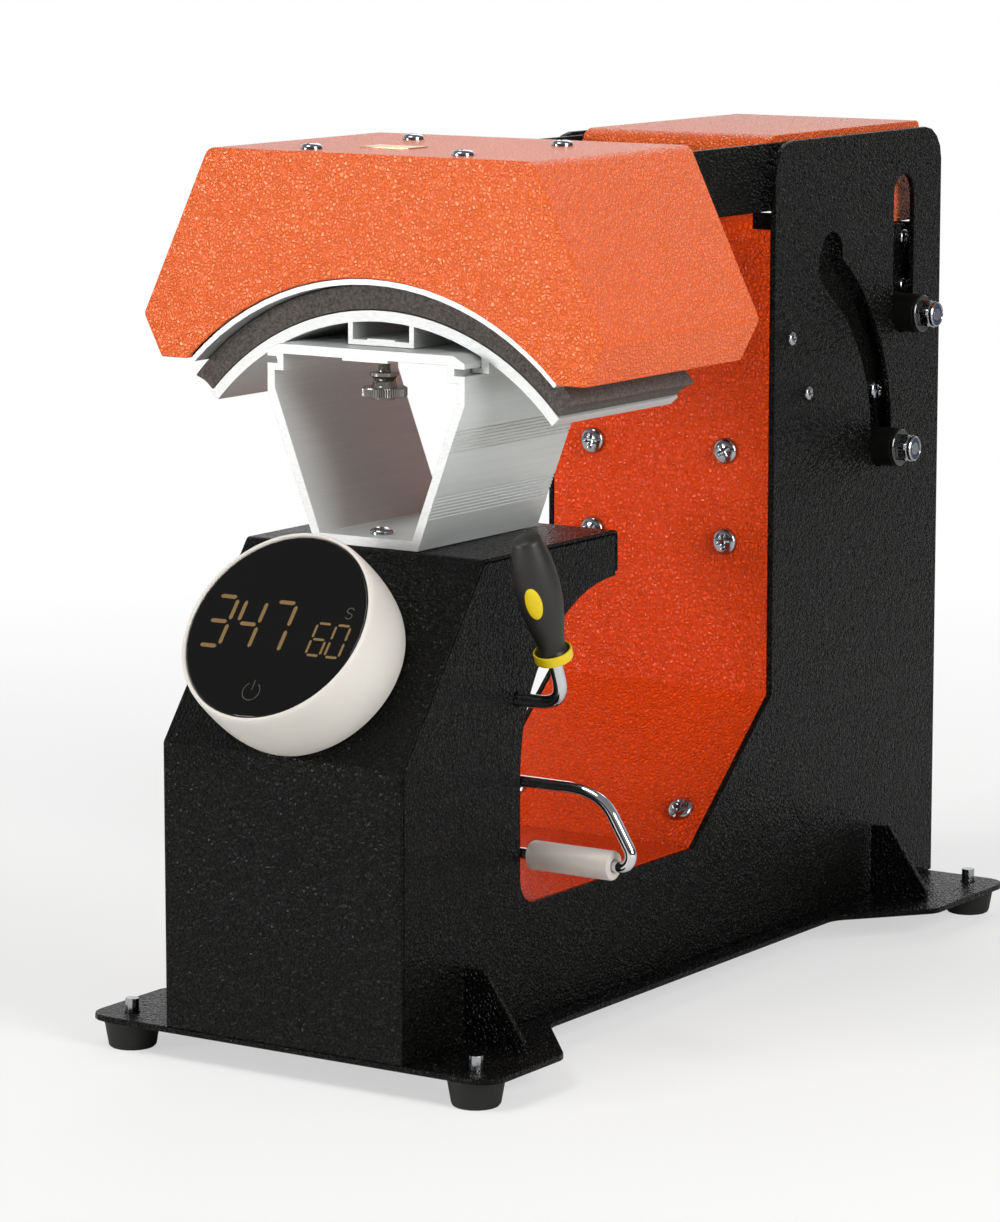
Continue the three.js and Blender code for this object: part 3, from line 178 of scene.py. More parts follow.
def powder_coat(name, colour, valley_shade, grain_mm, depth_mm, **values):
    """Baked powder paint: a closed skin of low rounded pebbles, with painted shade darkening the narrow
    valleys between them.
    """
    made, tree, shader = new_material(name, **values)
    pebbles_in_metre, warp_mm = 1000 / grain_mm, grain_mm / 1.1
    place = add_node(tree, "ShaderNodeTexCoord").outputs["Object"]
    warp = add_node(tree, "ShaderNodeTexNoise", {
        "Vector": place, "Scale": pebbles_in_metre * 0.7, "Detail": 1.0})
    shift = add_node(tree, "ShaderNodeVectorMath", {
        0: warp.outputs["Color"], 1: [warp_mm / 1000] * 3}, operation="MULTIPLY")
    bent = add_node(tree, "ShaderNodeVectorMath", {0: place, 1: shift.outputs[0]}, operation="ADD")
    pebbles = add_node(tree, "ShaderNodeTexVoronoi", {
        "Vector": bent.outputs[0], "Scale": pebbles_in_metre}, feature="DISTANCE_TO_EDGE")
    rounded = add_node(tree, "ShaderNodeMapRange", {
        "Value": pebbles.outputs["Distance"], "From Max": 0.3}, interpolation_type="SMOOTHERSTEP")
    swell = add_node(tree, "ShaderNodeTexNoise", {
        "Vector": place, "Scale": pebbles_in_metre / 1.6, "Detail": 2.0})
    skin = add_node(tree, "ShaderNodeMath", {
        0: rounded.outputs["Result"], 1: swell.outputs["Fac"]}, operation="ADD")
    bump = add_node(tree, "ShaderNodeBump", {
        "Height": skin.outputs[0], "Strength": 1.0, "Distance": depth_mm / 1000})
    tree.links.new(bump.outputs[0], shader.inputs["Normal"])
    # The valleys take the darker valley tone: painted shade in the recesses of the pebbled skin.
    tone = add_node(tree, "ShaderNodeMix", {
        0: rounded.outputs["Result"], 6: linear(valley_shade), 7: linear(colour)}, data_type="RGBA")
    tree.links.new(tone.outputs[2], shader.inputs["Base Color"])
    return made


def round_edges(piece, edge_mm, crease):
    """Breaks the edges of a piece that are sharper than crease with a small round."""
    soft = piece.modifiers.new("rounded edges", "BEVEL")
    soft.width, soft.segments = edge_mm / 1000, 2
    soft.limit_method, soft.angle_limit = "ANGLE", math.radians(crease)
    soft.use_clamp_overlap, soft.harden_normals = False, True


def dress(name, finish, edge_mm=0.3, crease=32):
    """Gives a solid of the frame its finish: facets joined, flat faces made whole, cut edges rounded."""
    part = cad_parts[name]
    part.data.materials.clear()
    part.data.materials.append(finish)
    if "custom_normal" in part.data.attributes:
        part.data.attributes.remove(part.data.attributes["custom_normal"])
    part.data.shade_smooth()
    part.modifiers.new("joined facets", "WELD").merge_threshold = 0.00001
    whole = part.modifiers.new("whole faces", "DECIMATE")
    whole.decimate_type, whole.angle_limit = "DISSOLVE", math.radians(0.4)
    round_edges(part, edge_mm, crease)


# The black coat is matt, with a glint on each pebble. Its pebbles are about 1.7 mm apart on the press
# and drawn a little coarser, so that they show.
black_coat = powder_coat("black powder-coated steel", "#0e0e0c", "#070706", 1.9, 1.0,
                         Roughness=0.24, IOR=1.45, Specular_IOR_Level=0.12)
for steel in ("base_plate", "side_plate_left", "side_plate_right", "front_panel", "column_brace",
              "rear_cover"):
    dress(steel, black_coat, 0.45)

# Inner sheets: the panel behind the pedestal, the throat's floor and the column's front panel. They are
# folded mild steel in the same orange coat, whose pebbles show fine warm glints; its deeper red-orange here
# is painted shade for the throat.
# The same orange coat drawn a deeper red-orange: painted shade for the throat.
inner_shaded_coat = powder_coat("orange powder-coated steel, darkened as painted shade", "#f24a0c", "#de4208", 2.0, 0.7,
                         Roughness=0.24, IOR=1.45, Specular_IOR_Level=0.16)
for steel in ("pedestal_rear_panel", "throat_floor_panel", "column_front_panel"):
    dress(steel, inner_shaded_coat)

# Case screws: pan-head machine screws with a cross recess, cold headed in steel and bright zinc
# plated. They hold the column's front panel to flanges of the side plates.


def mottled(name, dark, pale, patch_mm, detail=3.0, skin=None, **values):
    """A material whose colour drifts between two tones, in patches of a size in millimetres. Its skin, if
    it has one, is a bump's strength and depth, and its grit's size where that isn't the patches'."""
    made, tree, shader = new_material(name, **values)
    place = add_node(tree, "ShaderNodeTexCoord").outputs["Object"]
    patches = add_node(tree, "ShaderNodeTexNoise", {
        "Vector": place, "Scale": 1000 / patch_mm, "Detail": detail})
    tone = add_node(tree, "ShaderNodeMix", {
        0: patches.outputs["Fac"], 6: linear(dark), 7: linear(pale)}, data_type="RGBA")
    tree.links.new(tone.outputs[2], shader.inputs["Base Color"])
    if skin:
        strength, depth_mm, *grit_mm = skin
        grit = add_node(tree, "ShaderNodeTexNoise", {
            "Vector": place, "Scale": 1000 / grit_mm[0], "Detail": 2.0}) if grit_mm else patches
        bump = add_node(tree, "ShaderNodeBump", {
            "Height": grit.outputs["Fac"], "Strength": strength, "Distance": depth_mm / 1000})
        tree.links.new(bump.outputs[0], shader.inputs["Normal"])
    return made


# Zinc plate is bright and a little cloudy, so its reflections are soft in patches.
zinc = mottled("bright zinc-plated steel", "#93969a", "#b9bbbe", 2.38, Metallic=1.0)
tree = zinc.node_tree
cloudy = add_node(tree, "ShaderNodeMapRange", {
    "Value": tree.nodes["Noise Texture"].outputs["Fac"],
    "From Min": 0.3, "From Max": 0.7, "To Min": 0.1, "To Max": 0.24})
tree.links.new(cloudy.outputs["Result"], tree.nodes["Principled BSDF"].inputs["Roughness"])


def mesh_piece(name, points, faces, finish, body, crease=35):
    """A piece from points in the press's millimetres, smooth but for edges sharper than crease."""
    mesh = bpy.data.meshes.new(name)
    mesh.from_pydata([at(*p) for p in points], [], faces)
    mesh.materials.append(finish)
    tidy = bmesh.new()
    tidy.from_mesh(mesh)
    bmesh.ops.remove_doubles(tidy, verts=tidy.verts, dist=0.000002)
    bmesh.ops.recalc_face_normals(tidy, faces=tidy.faces)
    tidy.to_mesh(mesh)
    tidy.free()
    mesh.shade_smooth()
    mesh.set_sharp_from_angle(angle=math.radians(crease))
    piece = bpy.data.objects.new(name, mesh)
    scene.collection.objects.link(piece)
    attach(piece, body)
    return piece


def seat(points, place, facing, spin=0.0):
    """Turns points about the z axis to stand on a place, with z along facing."""
    turn = Vector(facing).to_track_quat("Z", "Y").to_matrix() @ Matrix.Rotation(math.radians(spin), 3, "Z")
    return [turn @ Vector(p) + Vector(place) for p in points]


def turned(profile, sides):
    """Points and faces of a closed turned form from its (radius, height) outline."""
    points, faces, rows = [], [], []
    for radius, height in profile:
        rows.append(len(points))
        for k in range(sides if radius > 0 else 1):
            angle = 2 * math.pi * k / sides
            points.append((radius * math.cos(angle), radius * math.sin(angle), height))
    stations = list(zip(rows, [radius for radius, _ in profile]))
    for (low, low_radius), (high, high_radius) in zip(stations, stations[1:]):
        for k in range(sides):
            after = (k + 1) % sides
            ring = [low + k, low + after] if low_radius > 0 else [low]
            ring += [high + after, high + k] if high_radius > 0 else [high]
            faces.append(ring)
    return points, faces


def woven(rows, columns, start=0, closed=False):
    """Four-sided faces between rows of points, each row closed into a ring where asked."""
    faces = []
    for j in range(rows - 1):
        for i in range(columns if closed else columns - 1):
            near, after = (start + j * columns + k for k in (i, (i + 1) % columns))
            faces.append([near, after, after + columns, near + columns])
    return faces


def cross_head(radius, rise, cells=30):
    """A domed screw head on z = 0 with a cross recess and a rounded rim."""
    arm, half, wall, deep = radius * 0.56, radius * 0.13, radius * 0.06, rise * 0.62
    rim_share, wide, points = 0.34, cells + 1, []
    for j in range(wide):
        for i in range(wide):
            u, v = 2 * i / cells - 1, 2 * j / cells - 1
            x, y = u * math.sqrt(1 - v * v / 2) * radius, v * math.sqrt(1 - u * u / 2) * radius
            out = min(1.0, math.hypot(x, y) / radius)
            z = rise * (rim_share + (1 - rim_share) * (1 - out ** 2.6) ** 0.5)
            inside = max(min(half - abs(x), arm - abs(y)), min(half - abs(y), arm - abs(x)))
            if inside > -wall / 3:
                z -= deep * max(0.0, min(1.0, inside / wall + 0.35)) * (1 - 0.5 * out)
            points.append((x, y, z))
    faces = woven(wide, wide)
    rim = [k for k in range(wide ** 2) if k // wide in (0, cells) or k % wide in (0, cells)]
    rim.sort(key=lambda k: math.atan2(points[k][1], points[k][0]))
    foot = len(points)
    points += [(points[k][0], points[k][1], 0.0) for k in rim]
    for a in range(len(rim)):
        b = (a + 1) % len(rim)
        faces.append([rim[a], rim[b], foot + b, foot + a])
    faces.append([foot + a for a in reversed(range(len(rim)))])
    return points, faces


def cross_screw(name, radius, rise, place, facing, spin, body):
    """A cross-recess screw head seated on a face."""
    points, faces = cross_head(radius, rise)
    return mesh_piece(name, seat(points, place, facing, spin), faces, zinc, body, 40)


panel_head, side_head = (5.7, 3.2), (3.0, 2.0)
slope_foot, slope_top = Vector((218.0, 47.8)), Vector((282.4, 104.4))
slope_run = (slope_top - slope_foot).normalized()
slope_spot = slope_foot + 19.0 * slope_run
slope_out = (0, -slope_run.y, slope_run.x)
for side, sign in (("left", -1), ("right", 1)):
    for label, z, spin in (("upper", 209.2, 12 + 20 * sign), ("lower", 169.6, 30 - 25 * sign)):
        spot = (sign * 34, slope_top.x, z)
        cross_screw(f"panel_screw_{label}_{side}", *panel_head, spot, (0, -1, 0), spin, "frame")
    cross_screw(f"slope_screw_{side}", *panel_head, (sign * 42.8, *slope_spot), slope_out, 20 * sign, "frame")
    for label, y, z in (("lower", 311.2, 233), ("upper", 296.4, 258)):
        cross_screw(f"side_screw_{label}_{side}", *side_head, (sign * 57.5, y, z), (sign, 0, 0), 15, "frame")

# Feet: turned-look bumpers moulded in black rubber, each held by a steel bolt from below, with a nut
# and a plain washer on top of the base plate. The rubber is matt, with a chalky bloom.
rubber = mottled("moulded rubber", "#121211", "#1d1c1b", 4.17, 4.0, skin=(0.35, 0.1),
                 Roughness=0.62, IOR=1.52, Specular_IOR_Level=0.3)
for corner in ("front_left", "front_right", "rear_left", "rear_right"):
    dress(f"foot_{corner}", rubber, 0.5)
    dress(f"foot_bolt_{corner}", zinc, 0.15)

# Platen post: a length of extruded aluminium, satin anodised, sawn off at both ends. The die leaves
# fine lines along it and the saw a bright, slightly torn face at each end. Both are drawn coarser
# than they are, so that they show.


def extruded_aluminium(name, skin, sawn, milky):
    """Aluminium drawn through a die along y: streaks along its length, saw marks on the faces across it."""
    made, tree, shader = new_material(name, Metallic=milky)
    place = add_node(tree, "ShaderNodeTexCoord").outputs["Object"]
    line_mm, torn_mm, mark_deep_mm = 0.556, 0.77, 0.08
    marks, tones = [], []
    for size_mm, stretch, detail, (dark, pale) in (
            (line_mm, (1.0, 0.012, 1.0), 3.0, skin), (torn_mm, (0.25, 1.0, 1.0), 4.0, sawn)):
        along = add_node(tree, "ShaderNodeVectorMath", {0: place, 1: stretch}, operation="MULTIPLY")
        mark = add_node(tree, "ShaderNodeTexNoise", {
            "Vector": along.outputs[0], "Scale": 1000 / size_mm, "Detail": detail})
        tone = add_node(tree, "ShaderNodeMix", {
            0: mark.outputs["Fac"], 6: linear(dark), 7: linear(pale)}, data_type="RGBA")
        marks.append(mark.outputs["Fac"])
        tones.append(tone.outputs[2])
    facing = add_node(tree, "ShaderNodeSeparateXYZ", {
        0: add_node(tree, "ShaderNodeNewGeometry").outputs["True Normal"]})
    size = add_node(tree, "ShaderNodeMath", {0: facing.outputs["Y"]}, operation="ABSOLUTE")
    end = add_node(tree, "ShaderNodeMath", {0: size.outputs[0], 1: 0.9}, operation="GREATER_THAN").outputs[0]
    tone = add_node(tree, "ShaderNodeMix", {0: end, 6: tones[0], 7: tones[1]}, data_type="RGBA")
    tree.links.new(tone.outputs[2], shader.inputs["Base Color"])
    rough = add_node(tree, "ShaderNodeMapRange", {"Value": end, "To Min": 0.5, "To Max": 0.55})
    tree.links.new(rough.outputs["Result"], shader.inputs["Roughness"])
    height = add_node(tree, "ShaderNodeMix", {0: end, 2: marks[0], 3: marks[1]}, data_type="FLOAT")
    bump = add_node(tree, "ShaderNodeBump", {
        "Height": height.outputs[0], "Strength": 0.5, "Distance": mark_deep_mm / 1000})
    tree.links.new(bump.outputs[0], shader.inputs["Normal"])
    return made


anodised = extruded_aluminium(
    "satin anodised aluminium", ("#c4c8c6", "#d8dbd9"), ("#bdbebd", "#dddedd"), 0.62)


def extrusion(name, outline, bores, y_front, y_rear, finish, body, edge_mm=0.15):
    """A length of a profile along y, from its outline and bores in millimetres across and up."""
    drawn = bpy.data.curves.new(name, "CURVE")
    drawn.dimensions, drawn.fill_mode = "2D", "BOTH"
    drawn.extrude = (y_rear - y_front) / 2000
    for ring in (outline, *bores):
        line = drawn.splines.new("POLY")
        line.points.add(len(ring) - 1)
        line.use_cyclic_u = True
        for point, (x, z) in zip(line.points, ring):
            point.co = (x / 1000, z / 1000, 0, 1)
    holder = bpy.data.objects.new(name, drawn)
    scene.collection.objects.link(holder)
    solid = bpy.data.meshes.new_from_object(holder)
    bpy.data.objects.remove(holder)
    middle_y = (y_front + y_rear) / 2
    points = [(v.co.x * 1000, middle_y - v.co.z * 1000, v.co.y * 1000) for v in solid.vertices]
    piece = mesh_piece(name, points, [list(f.vertices) for f in solid.polygons], finish, body, 30)
    round_edges(piece, edge_mm, 30)
    return piece


def both_sides(points):
    """A symmetric outline from its right half."""
    return points + [(-x, z) for x, z in reversed(points)]


post_front, post_rear, post_top, post_foot = 58.7, 146.0, 271.2, 192.3
top_half, foot_half, shoulder = 47.7, 25.1, 252.0
lip_low, slot_low, slot_in = post_top - 5.1, post_top - 7.9, top_half - 4.9
wall_run = Vector((foot_half - top_half, post_foot - shoulder))
wall_along, wall_out = wall_run.normalized(), Vector((-wall_run.y, wall_run.x)).normalized()
post_outline = [(top_half - 5.4, post_top), (top_half, post_top - 3), (top_half, lip_low), (slot_in, lip_low),
                (slot_in, slot_low), (top_half, slot_low), (top_half, shoulder)]
groove_pitch, groove_depth, groove_count = 1.52, 0.45, 7
for first_share in (0.176, 0.631):
    for k in range(groove_count):
        for step, depth in ((0, 0), (groove_pitch / 4, groove_depth), (groove_pitch / 2, 0)):
            down = wall_run.length * first_share + groove_pitch * k + step
            post_outline.append(tuple(Vector((top_half, shoulder)) + wall_along * down - wall_out * depth))
post_outline.append((foot_half, post_foot))
wall, side_wall, floor_top, top_slot = 4.17, 3.6, 196.2, 11
ceiling_low, ledge_low, ledge_in = post_top - 3.95, post_top - 10.8, 39.8
slope = wall_run.x / wall_run.y
post_bore = [(top_slot, ceiling_low - 1.1), (top_slot, ceiling_low), (ledge_in, ceiling_low),
             (ledge_in, ledge_low), (top_half - side_wall, ledge_low),
             (top_half - side_wall, shoulder + (wall - side_wall) / slope),
             (top_half + (floor_top - shoulder) * slope - wall, floor_top)]
drawn_post = extrusion("drawn_post", both_sides(post_outline), [both_sides(post_bore)], post_front, post_rear,
                       anodised, "frame")
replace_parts(drawn_post, "platen_post")
for label, y in (("front", 70), ("rear", 130)):
    cross_screw(f"post_screw_{label}", 4.8, 2.6, (0, y, floor_top), (0, 0, 1), 18, "frame")

# Platen: an arched extrusion of the same anodised aluminium. Its hooked rails slide along the post's
# lips, and a hollow rib under its crown takes the thumb screw.
platen_front, platen_rear = 70.0, 159.0
arch_height, arch_under, arch_radius, arch_angle = 172.5, 108.7, 113.2, 48.2


def arc_points(radius, from_angle, to_angle, steps):
    """Points of the arch about its centre, by degrees from upright."""
    angles = [math.radians(from_angle + (to_angle - from_angle) * k / steps) for k in range(steps + 1)]
    return [(radius * math.sin(a), arch_height + radius * math.cos(a)) for a in angles]


def under_arch(x):
    """The degrees from upright at which the arch's underside stands over a place."""
    return math.degrees(math.asin(x / arch_under))


rail_in, rail_out, hook_in, hook_top, hook_low = 48.0, 51.6, 43.7, 265.8, 263.6
rib_half, rib_wall, rib_floor, rib_step = 16.0, 2.4, post_top + 0.3, 6.7
platen_outline = arc_points(arch_radius, 0, arch_angle, 40)
platen_outline += arc_points(arch_under, arch_angle, under_arch(rail_out), 16)
platen_outline += [(rail_out, hook_low), (hook_in, hook_low), (hook_in, hook_top), (rail_in, hook_top)]
platen_outline += arc_points(arch_under, under_arch(rail_in), under_arch(rib_half), 16)
platen_outline.append((rib_half, rib_floor))
rib_bore = arc_points(arch_under, 0, under_arch(rib_half - rib_wall), 6)
rib_bore += [(rib_half - rib_wall, rib_floor + 2.2), (rib_step, rib_floor + 2.2), (rib_step, rib_floor + 2.8)]
drawn_platen = extrusion("drawn_platen", both_sides(platen_outline), [both_sides(rib_bore)],
                         platen_front, platen_rear, anodised, "platen_slider")
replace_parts(drawn_platen, "platen")

# Platen pad: a sheet of closed-cell silicone sponge 10 mm thick, glued over the arch. It is matt, its
# skin is speckled grey-brown, and its cut sides are a little hollow and show open cells, drawn
# coarser than they are.
sponge, tree, shader = new_material("silicone sponge", Roughness=0.9, IOR=1.41, Specular_IOR_Level=0.2)
cell_mm, grit_mm, pore_mm = 0.87, 1.11, 0.35
place = add_node(tree, "ShaderNodeTexCoord").outputs["Object"]
cells = add_node(tree, "ShaderNodeTexVoronoi", {"Vector": place, "Scale": 1000 / cell_mm})
grit = add_node(tree, "ShaderNodeTexNoise", {
    "Vector": place, "Scale": 1000 / grit_mm, "Detail": 4.0, "Roughness": 0.7})
speck = add_node(tree, "ShaderNodeMapRange", {
    "Value": grit.outputs["Fac"], "From Min": 0.32, "From Max": 0.68})
foam_tone = add_node(tree, "ShaderNodeMix", {
    0: speck.outputs["Result"], 6: linear("#3d3936"), 7: linear("#6f6864")}, data_type="RGBA")
tree.links.new(foam_tone.outputs[2], shader.inputs["Base Color"])
pores = add_node(tree, "ShaderNodeMath", {
    0: cells.outputs["Distance"], 1: grit.outputs["Fac"]}, operation="ADD")
pored = add_node(tree, "ShaderNodeBump", {
    "Height": pores.outputs[0], "Strength": 0.8, "Distance": pore_mm / 1000})
tree.links.new(pored.outputs[0], shader.inputs["Normal"])
pad_inner, pad_outer, pad_angle, pad_round, pad_hollow = 113.5, 123.7, 48.3, 0.9, 0.9
pad_middle, pad_centre = (pad_inner + pad_outer) / 2, (platen_front + platen_rear) / 2
half_size = Vector((
    math.radians(pad_angle) * pad_middle, (platen_rear - platen_front) / 2, (pad_outer - pad_inner) / 2))
end_share, slack_mm, slack_patch, steps = 0.93, 0.12, 14, (130, 56, 8)


def pad_point(flat):
    """A point of the flat pad, bent over the arch, with its ends hollowed and its top a little slack."""
    core = Vector([max(-h + pad_round, min(h - pad_round, c)) for c, h in zip(flat, half_size)])
    out = flat - core
    if out.length > 1e-6:
        flat = core + out.normalized() * pad_round
    level = flat.z / half_size.z
    pulled = 1.0 + pad_hollow * (level - (1 - level * level)) / half_size.x
    angle = flat.x * (pulled if abs(flat.x) > half_size.x * end_share else 1.0) / pad_middle
    slack = slack_mm * (noise.noise(Vector((flat.x, flat.y, 0)) / slack_patch) - 1) if flat.z > 0 else 0
    reach = pad_middle + flat.z + slack
    return reach * math.sin(angle), pad_centre + flat.y, arch_height + reach * math.cos(angle)


pad_points, pad_faces = [], []
for axis in range(3):
    u_axis, v_axis = (axis + 1) % 3, (axis + 2) % 3
    for sign in (-1, 1):
        pad_faces += woven(steps[v_axis] + 1, steps[u_axis] + 1, len(pad_points))
        for j in range(steps[v_axis] + 1):
            for i in range(steps[u_axis] + 1):
                flat = Vector((0, 0, 0))
                flat[axis] = sign * half_size[axis]
                for a, k in ((u_axis, i), (v_axis, j)):
                    flat[a] = half_size[a] * (2 * k / steps[a] - 1)
                pad_points.append(pad_point(flat))
sponge_pad = mesh_piece("sponge_pad", pad_points, pad_faces, sponge, "platen_slider", 60)
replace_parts(sponge_pad, "foam_pad")

# Thumb screw: turned brass, nickel plated, with a straight-knurled disc. It clamps the platen to the
# post from inside the post's top slot. The plate is warm and glossy, a little cloudy.
nickel = mottled("nickel-plated brass", "#8d8983", "#b5b0a9", 3.33, Metallic=1.0, Roughness=0.13)
knurls, disc_foot, disc_top, neck_top, tip = 56, 251.2, 255.2, 261.5, 270.9
thread_low, thread_high, thread_pitch, thread_turns = 2.35, 2.7, 0.8, 11
screw_outline = [(0, disc_foot - 1), (4.9, disc_foot - 1), (5.4, disc_foot - 0.6), (5.4, disc_foot),
                 (8.6, disc_foot), (9.2, disc_foot + 0.5), (9.2, disc_top - 0.5), (8.6, disc_top),
                 (5.6, disc_top), (4.9, disc_top + 1), (4.6, disc_top + 2.3), (4.9, disc_top + 3.4),
                 (5.9, neck_top - 1.8), (5.9, neck_top - 0.5), (5.5, neck_top - 0.2), (thread_high, neck_top)]
for k in range(thread_turns):
    crest = neck_top + 0.2 + k * thread_pitch
    screw_outline += [(thread_high, crest), (thread_low, crest + thread_pitch / 2)]
screw_outline.append((0, tip))
screw_points, screw_faces = turned(screw_outline, knurls * 4)
screw_spot, knurled_from, knurl_shares = 72.5, 8.9, (1.0, 0.98, 0.95, 0.98)
for k, (x, y, z) in enumerate(screw_points):
    tooth = knurl_shares[k % 4] if math.hypot(x, y) > knurled_from else 1.0
    screw_points[k] = (x * tooth, y * tooth + screw_spot, z)
clamp_screw = mesh_piece("clamp_screw", screw_points, screw_faces, nickel, "thumb_screw", 28)
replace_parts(clamp_screw, "thumb_screw")

# Tension lever: one length of bright chromed steel rod across the pedestal, bent up into the handle's
# core. The plate is mirror-bright, with only a faint haze, and shows the room in long streaks.
chrome = mottled("chromed steel", "#c9cbce", "#dcdee0", 6.25, 2.0, Metallic=1.0, Roughness=0.06)
dress("actuator_rod", chrome, 0.25, 50)
dress("shaft_clip", zinc, 0.1)
lever_foot, lever_lean = Vector((80.0, 81.6, 132.8)), math.radians(22.0)
lever_up = Vector((0, -math.sin(lever_lean), math.cos(lever_lean)))


def bent_rod(name, path, radius, body, sides=28):
    """A round rod along a smooth path of points, with rounded ends."""
    spots, step = [], 2
    for near, far in zip(path, path[1:]):
        count = max(1, round((far - near).length / step))
        spots += [near.lerp(far, k / count) for k in range(count)]
    spots.append(path[-1])
    rim_shares, last = (0.55, 0.85, 1.0), len(spots) - 1
    points, out = [], None
    for k, spot in enumerate(spots):
        along = (spots[min(k + 1, last)] - spots[max(k - 1, 0)]).normalized()
        out = out or along.orthogonal()
        out = (out - along * along.dot(out)).normalized()
        side = along.cross(out)
        for share in rim_shares if k == 0 else rim_shares[::-1] if k == last else (1.0,):
            shift = along * radius * 0.25 * (1 - share) * (-1 if k == 0 else 1)
            points += [spot + shift + radius * share * (math.cos(a) * out + math.sin(a) * side)
                       for a in [2 * math.pi * j / sides for j in range(sides)]]
    faces = woven(len(points) // sides, sides, closed=True)
    faces += [list(reversed(range(sides))), list(range(len(points) - sides, len(points)))]
    return mesh_piece(name, points, faces, chrome, body, 60)


def bend(start, corner, end, steps=14):
    """Points of a smooth bend from start round a corner to end."""
    return [start.lerp(corner, t).lerp(corner.lerp(end, t), t) for t in [k / steps for k in range(steps + 1)]]


shaft_start, bend_long, core_long = Vector((-63.0, lever_foot.y, lever_foot.z)), 12, 52
lever_path = [shaft_start, shaft_start.lerp(lever_foot, 0.5)]
lever_path += bend(lever_foot - Vector((bend_long, 0, 0)), lever_foot, lever_foot + bend_long * lever_up)
lever_path.append(lever_foot + core_long * lever_up)
lever_rod = bent_rod("lever_rod", lever_path, 2.75, "tension_lever")
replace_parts(lever_rod, "lever_shaft")

# Handle: a black grip moulded over the rod in soft-touch rubber, with a yellow polypropylene ferrule
# and a yellow oval let into its side. The rubber is satin with a powdery bloom, the yellow parts are
# evenly coloured and half glossy.
soft_grip = mottled("soft-touch rubber", "#191816", "#22211e", 5.26, skin=(0.25, 0.06, 0.667),
                    Roughness=0.46, IOR=1.5, Specular_IOR_Level=0.45)
yellow = mottled("yellow polypropylene", "#cfb009", "#e2c811", 7.7, skin=(0.2, 0.1), Roughness=0.34, IOR=1.49)
grip_start, grip_long, grip_widest, inlay_turn = 22.2, 53.5, 8.9, math.radians(17)
grip_radii = (0.775, 0.775, 0.629, 0.652, 0.854, 0.989, 1, 0.899, 0.74, 0.64, 0.54)
grip_heights = (0, 0.036, 0.063, 0.135, 0.303, 0.47, 0.638, 0.808, 0.928, 0.985, 1)


def on_core(name, points, faces, finish, slot, stands_for):
    """A piece whose points stand along the lever's core, in place of a solid of the frame."""
    lean = Matrix.Rotation(lever_lean, 3, "X")
    placed = [lean @ Vector(p) + lever_foot for p in points]
    piece = mesh_piece(name, placed, faces, finish, "tension_lever", 40)
    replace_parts(piece, stands_for)


def grip_radius(share):
    """The grip's radius at a share of its length, smooth through its stations."""
    k = max(1, next((k for k, h in enumerate(grip_heights) if h >= share), len(grip_heights) - 1))
    before, low, high, after = (grip_radii[max(0, min(len(grip_radii) - 1, k + d))] for d in (-2, -1, 0, 1))
    t = (share - grip_heights[k - 1]) / (grip_heights[k] - grip_heights[k - 1])
    if k in (1, 2, len(grip_heights) - 1):
        return grip_widest * (low + (high - low) * t)
    bow = ((-t ** 3 + 2 * t ** 2 - t) * before + (3 * t ** 3 - 5 * t ** 2 + 2) * low
           + (-3 * t ** 3 + 4 * t ** 2 + t) * high + (t ** 3 - t ** 2) * after) / 2
    return grip_widest * bow


waist_share, taper_share, end_shares = 0.063, 0.922, [0.993, 1.0]
grip_shares = [0, 0.03, 0.04, waist_share]
grip_shares += [waist_share + taper_share * k / 44 for k in range(1, 45)] + end_shares
grip_outline = [(0, grip_start)] + [(grip_radius(h), grip_start + grip_long * h) for h in grip_shares]
grip_outline.append((0, grip_start + grip_long + 0.2))
on_core("rubber_grip", *turned(grip_outline, 72), soft_grip, "grip_plastic", "handle_grip")
cup, cup_radius, cup_wall, cup_bore, cup_top = 20.9, 7.8, 0.75, 3.1, 25.4
cup_inside = cup_radius - cup_wall
cup_outline = [(cup_bore, cup), (cup_radius - 1.0, cup), (cup_radius - 0.3, cup + 0.3),
               (cup_radius, cup + 0.9), (cup_radius, cup_top - 0.2), (cup_radius - 0.2, cup_top),
               (cup_inside + 0.1, cup_top), (cup_inside, cup_top - 0.2), (cup_inside, cup + 1),
               (cup_bore, cup + 1), (cup_bore, cup)]
on_core("yellow_ferrule", *turned(cup_outline, 72), yellow, "yellow_plastic", "handle_ferrule")
inlay_rows, inlay_steps, inlay_middle = 10, 56, grip_start + 28.7
inlay_half, inlay_half_long, inlay_crown, inlay_proud, inlay_sunk = 3.4, 7.0, 0.35, 0.05, 1.2
points, inlay_spin = [], Matrix.Rotation(inlay_turn, 3, "Z")
for row in range(inlay_rows + 1):
    share = min(1.0, row / (inlay_rows - 1))
    for k in range(inlay_steps):
        angle = 2 * math.pi * k / inlay_steps
        x, z = inlay_half * share * math.cos(angle), inlay_half_long * share * math.sin(angle)
        skin = grip_radius((inlay_middle + z - grip_start) / grip_long)
        lifted = inlay_crown * (1 - share ** 6) + inlay_proud if row < inlay_rows else -inlay_sunk
        points.append(inlay_spin @ Vector((x, -math.sqrt(skin ** 2 - x * x) - lifted, inlay_middle + z)))
faces = woven(inlay_rows + 1, inlay_steps, closed=True)
faces.append([inlay_rows * inlay_steps + k for k in range(inlay_steps)])
on_core("yellow_inlay", points, faces, yellow, "yellow_plastic", "grip_inlay")

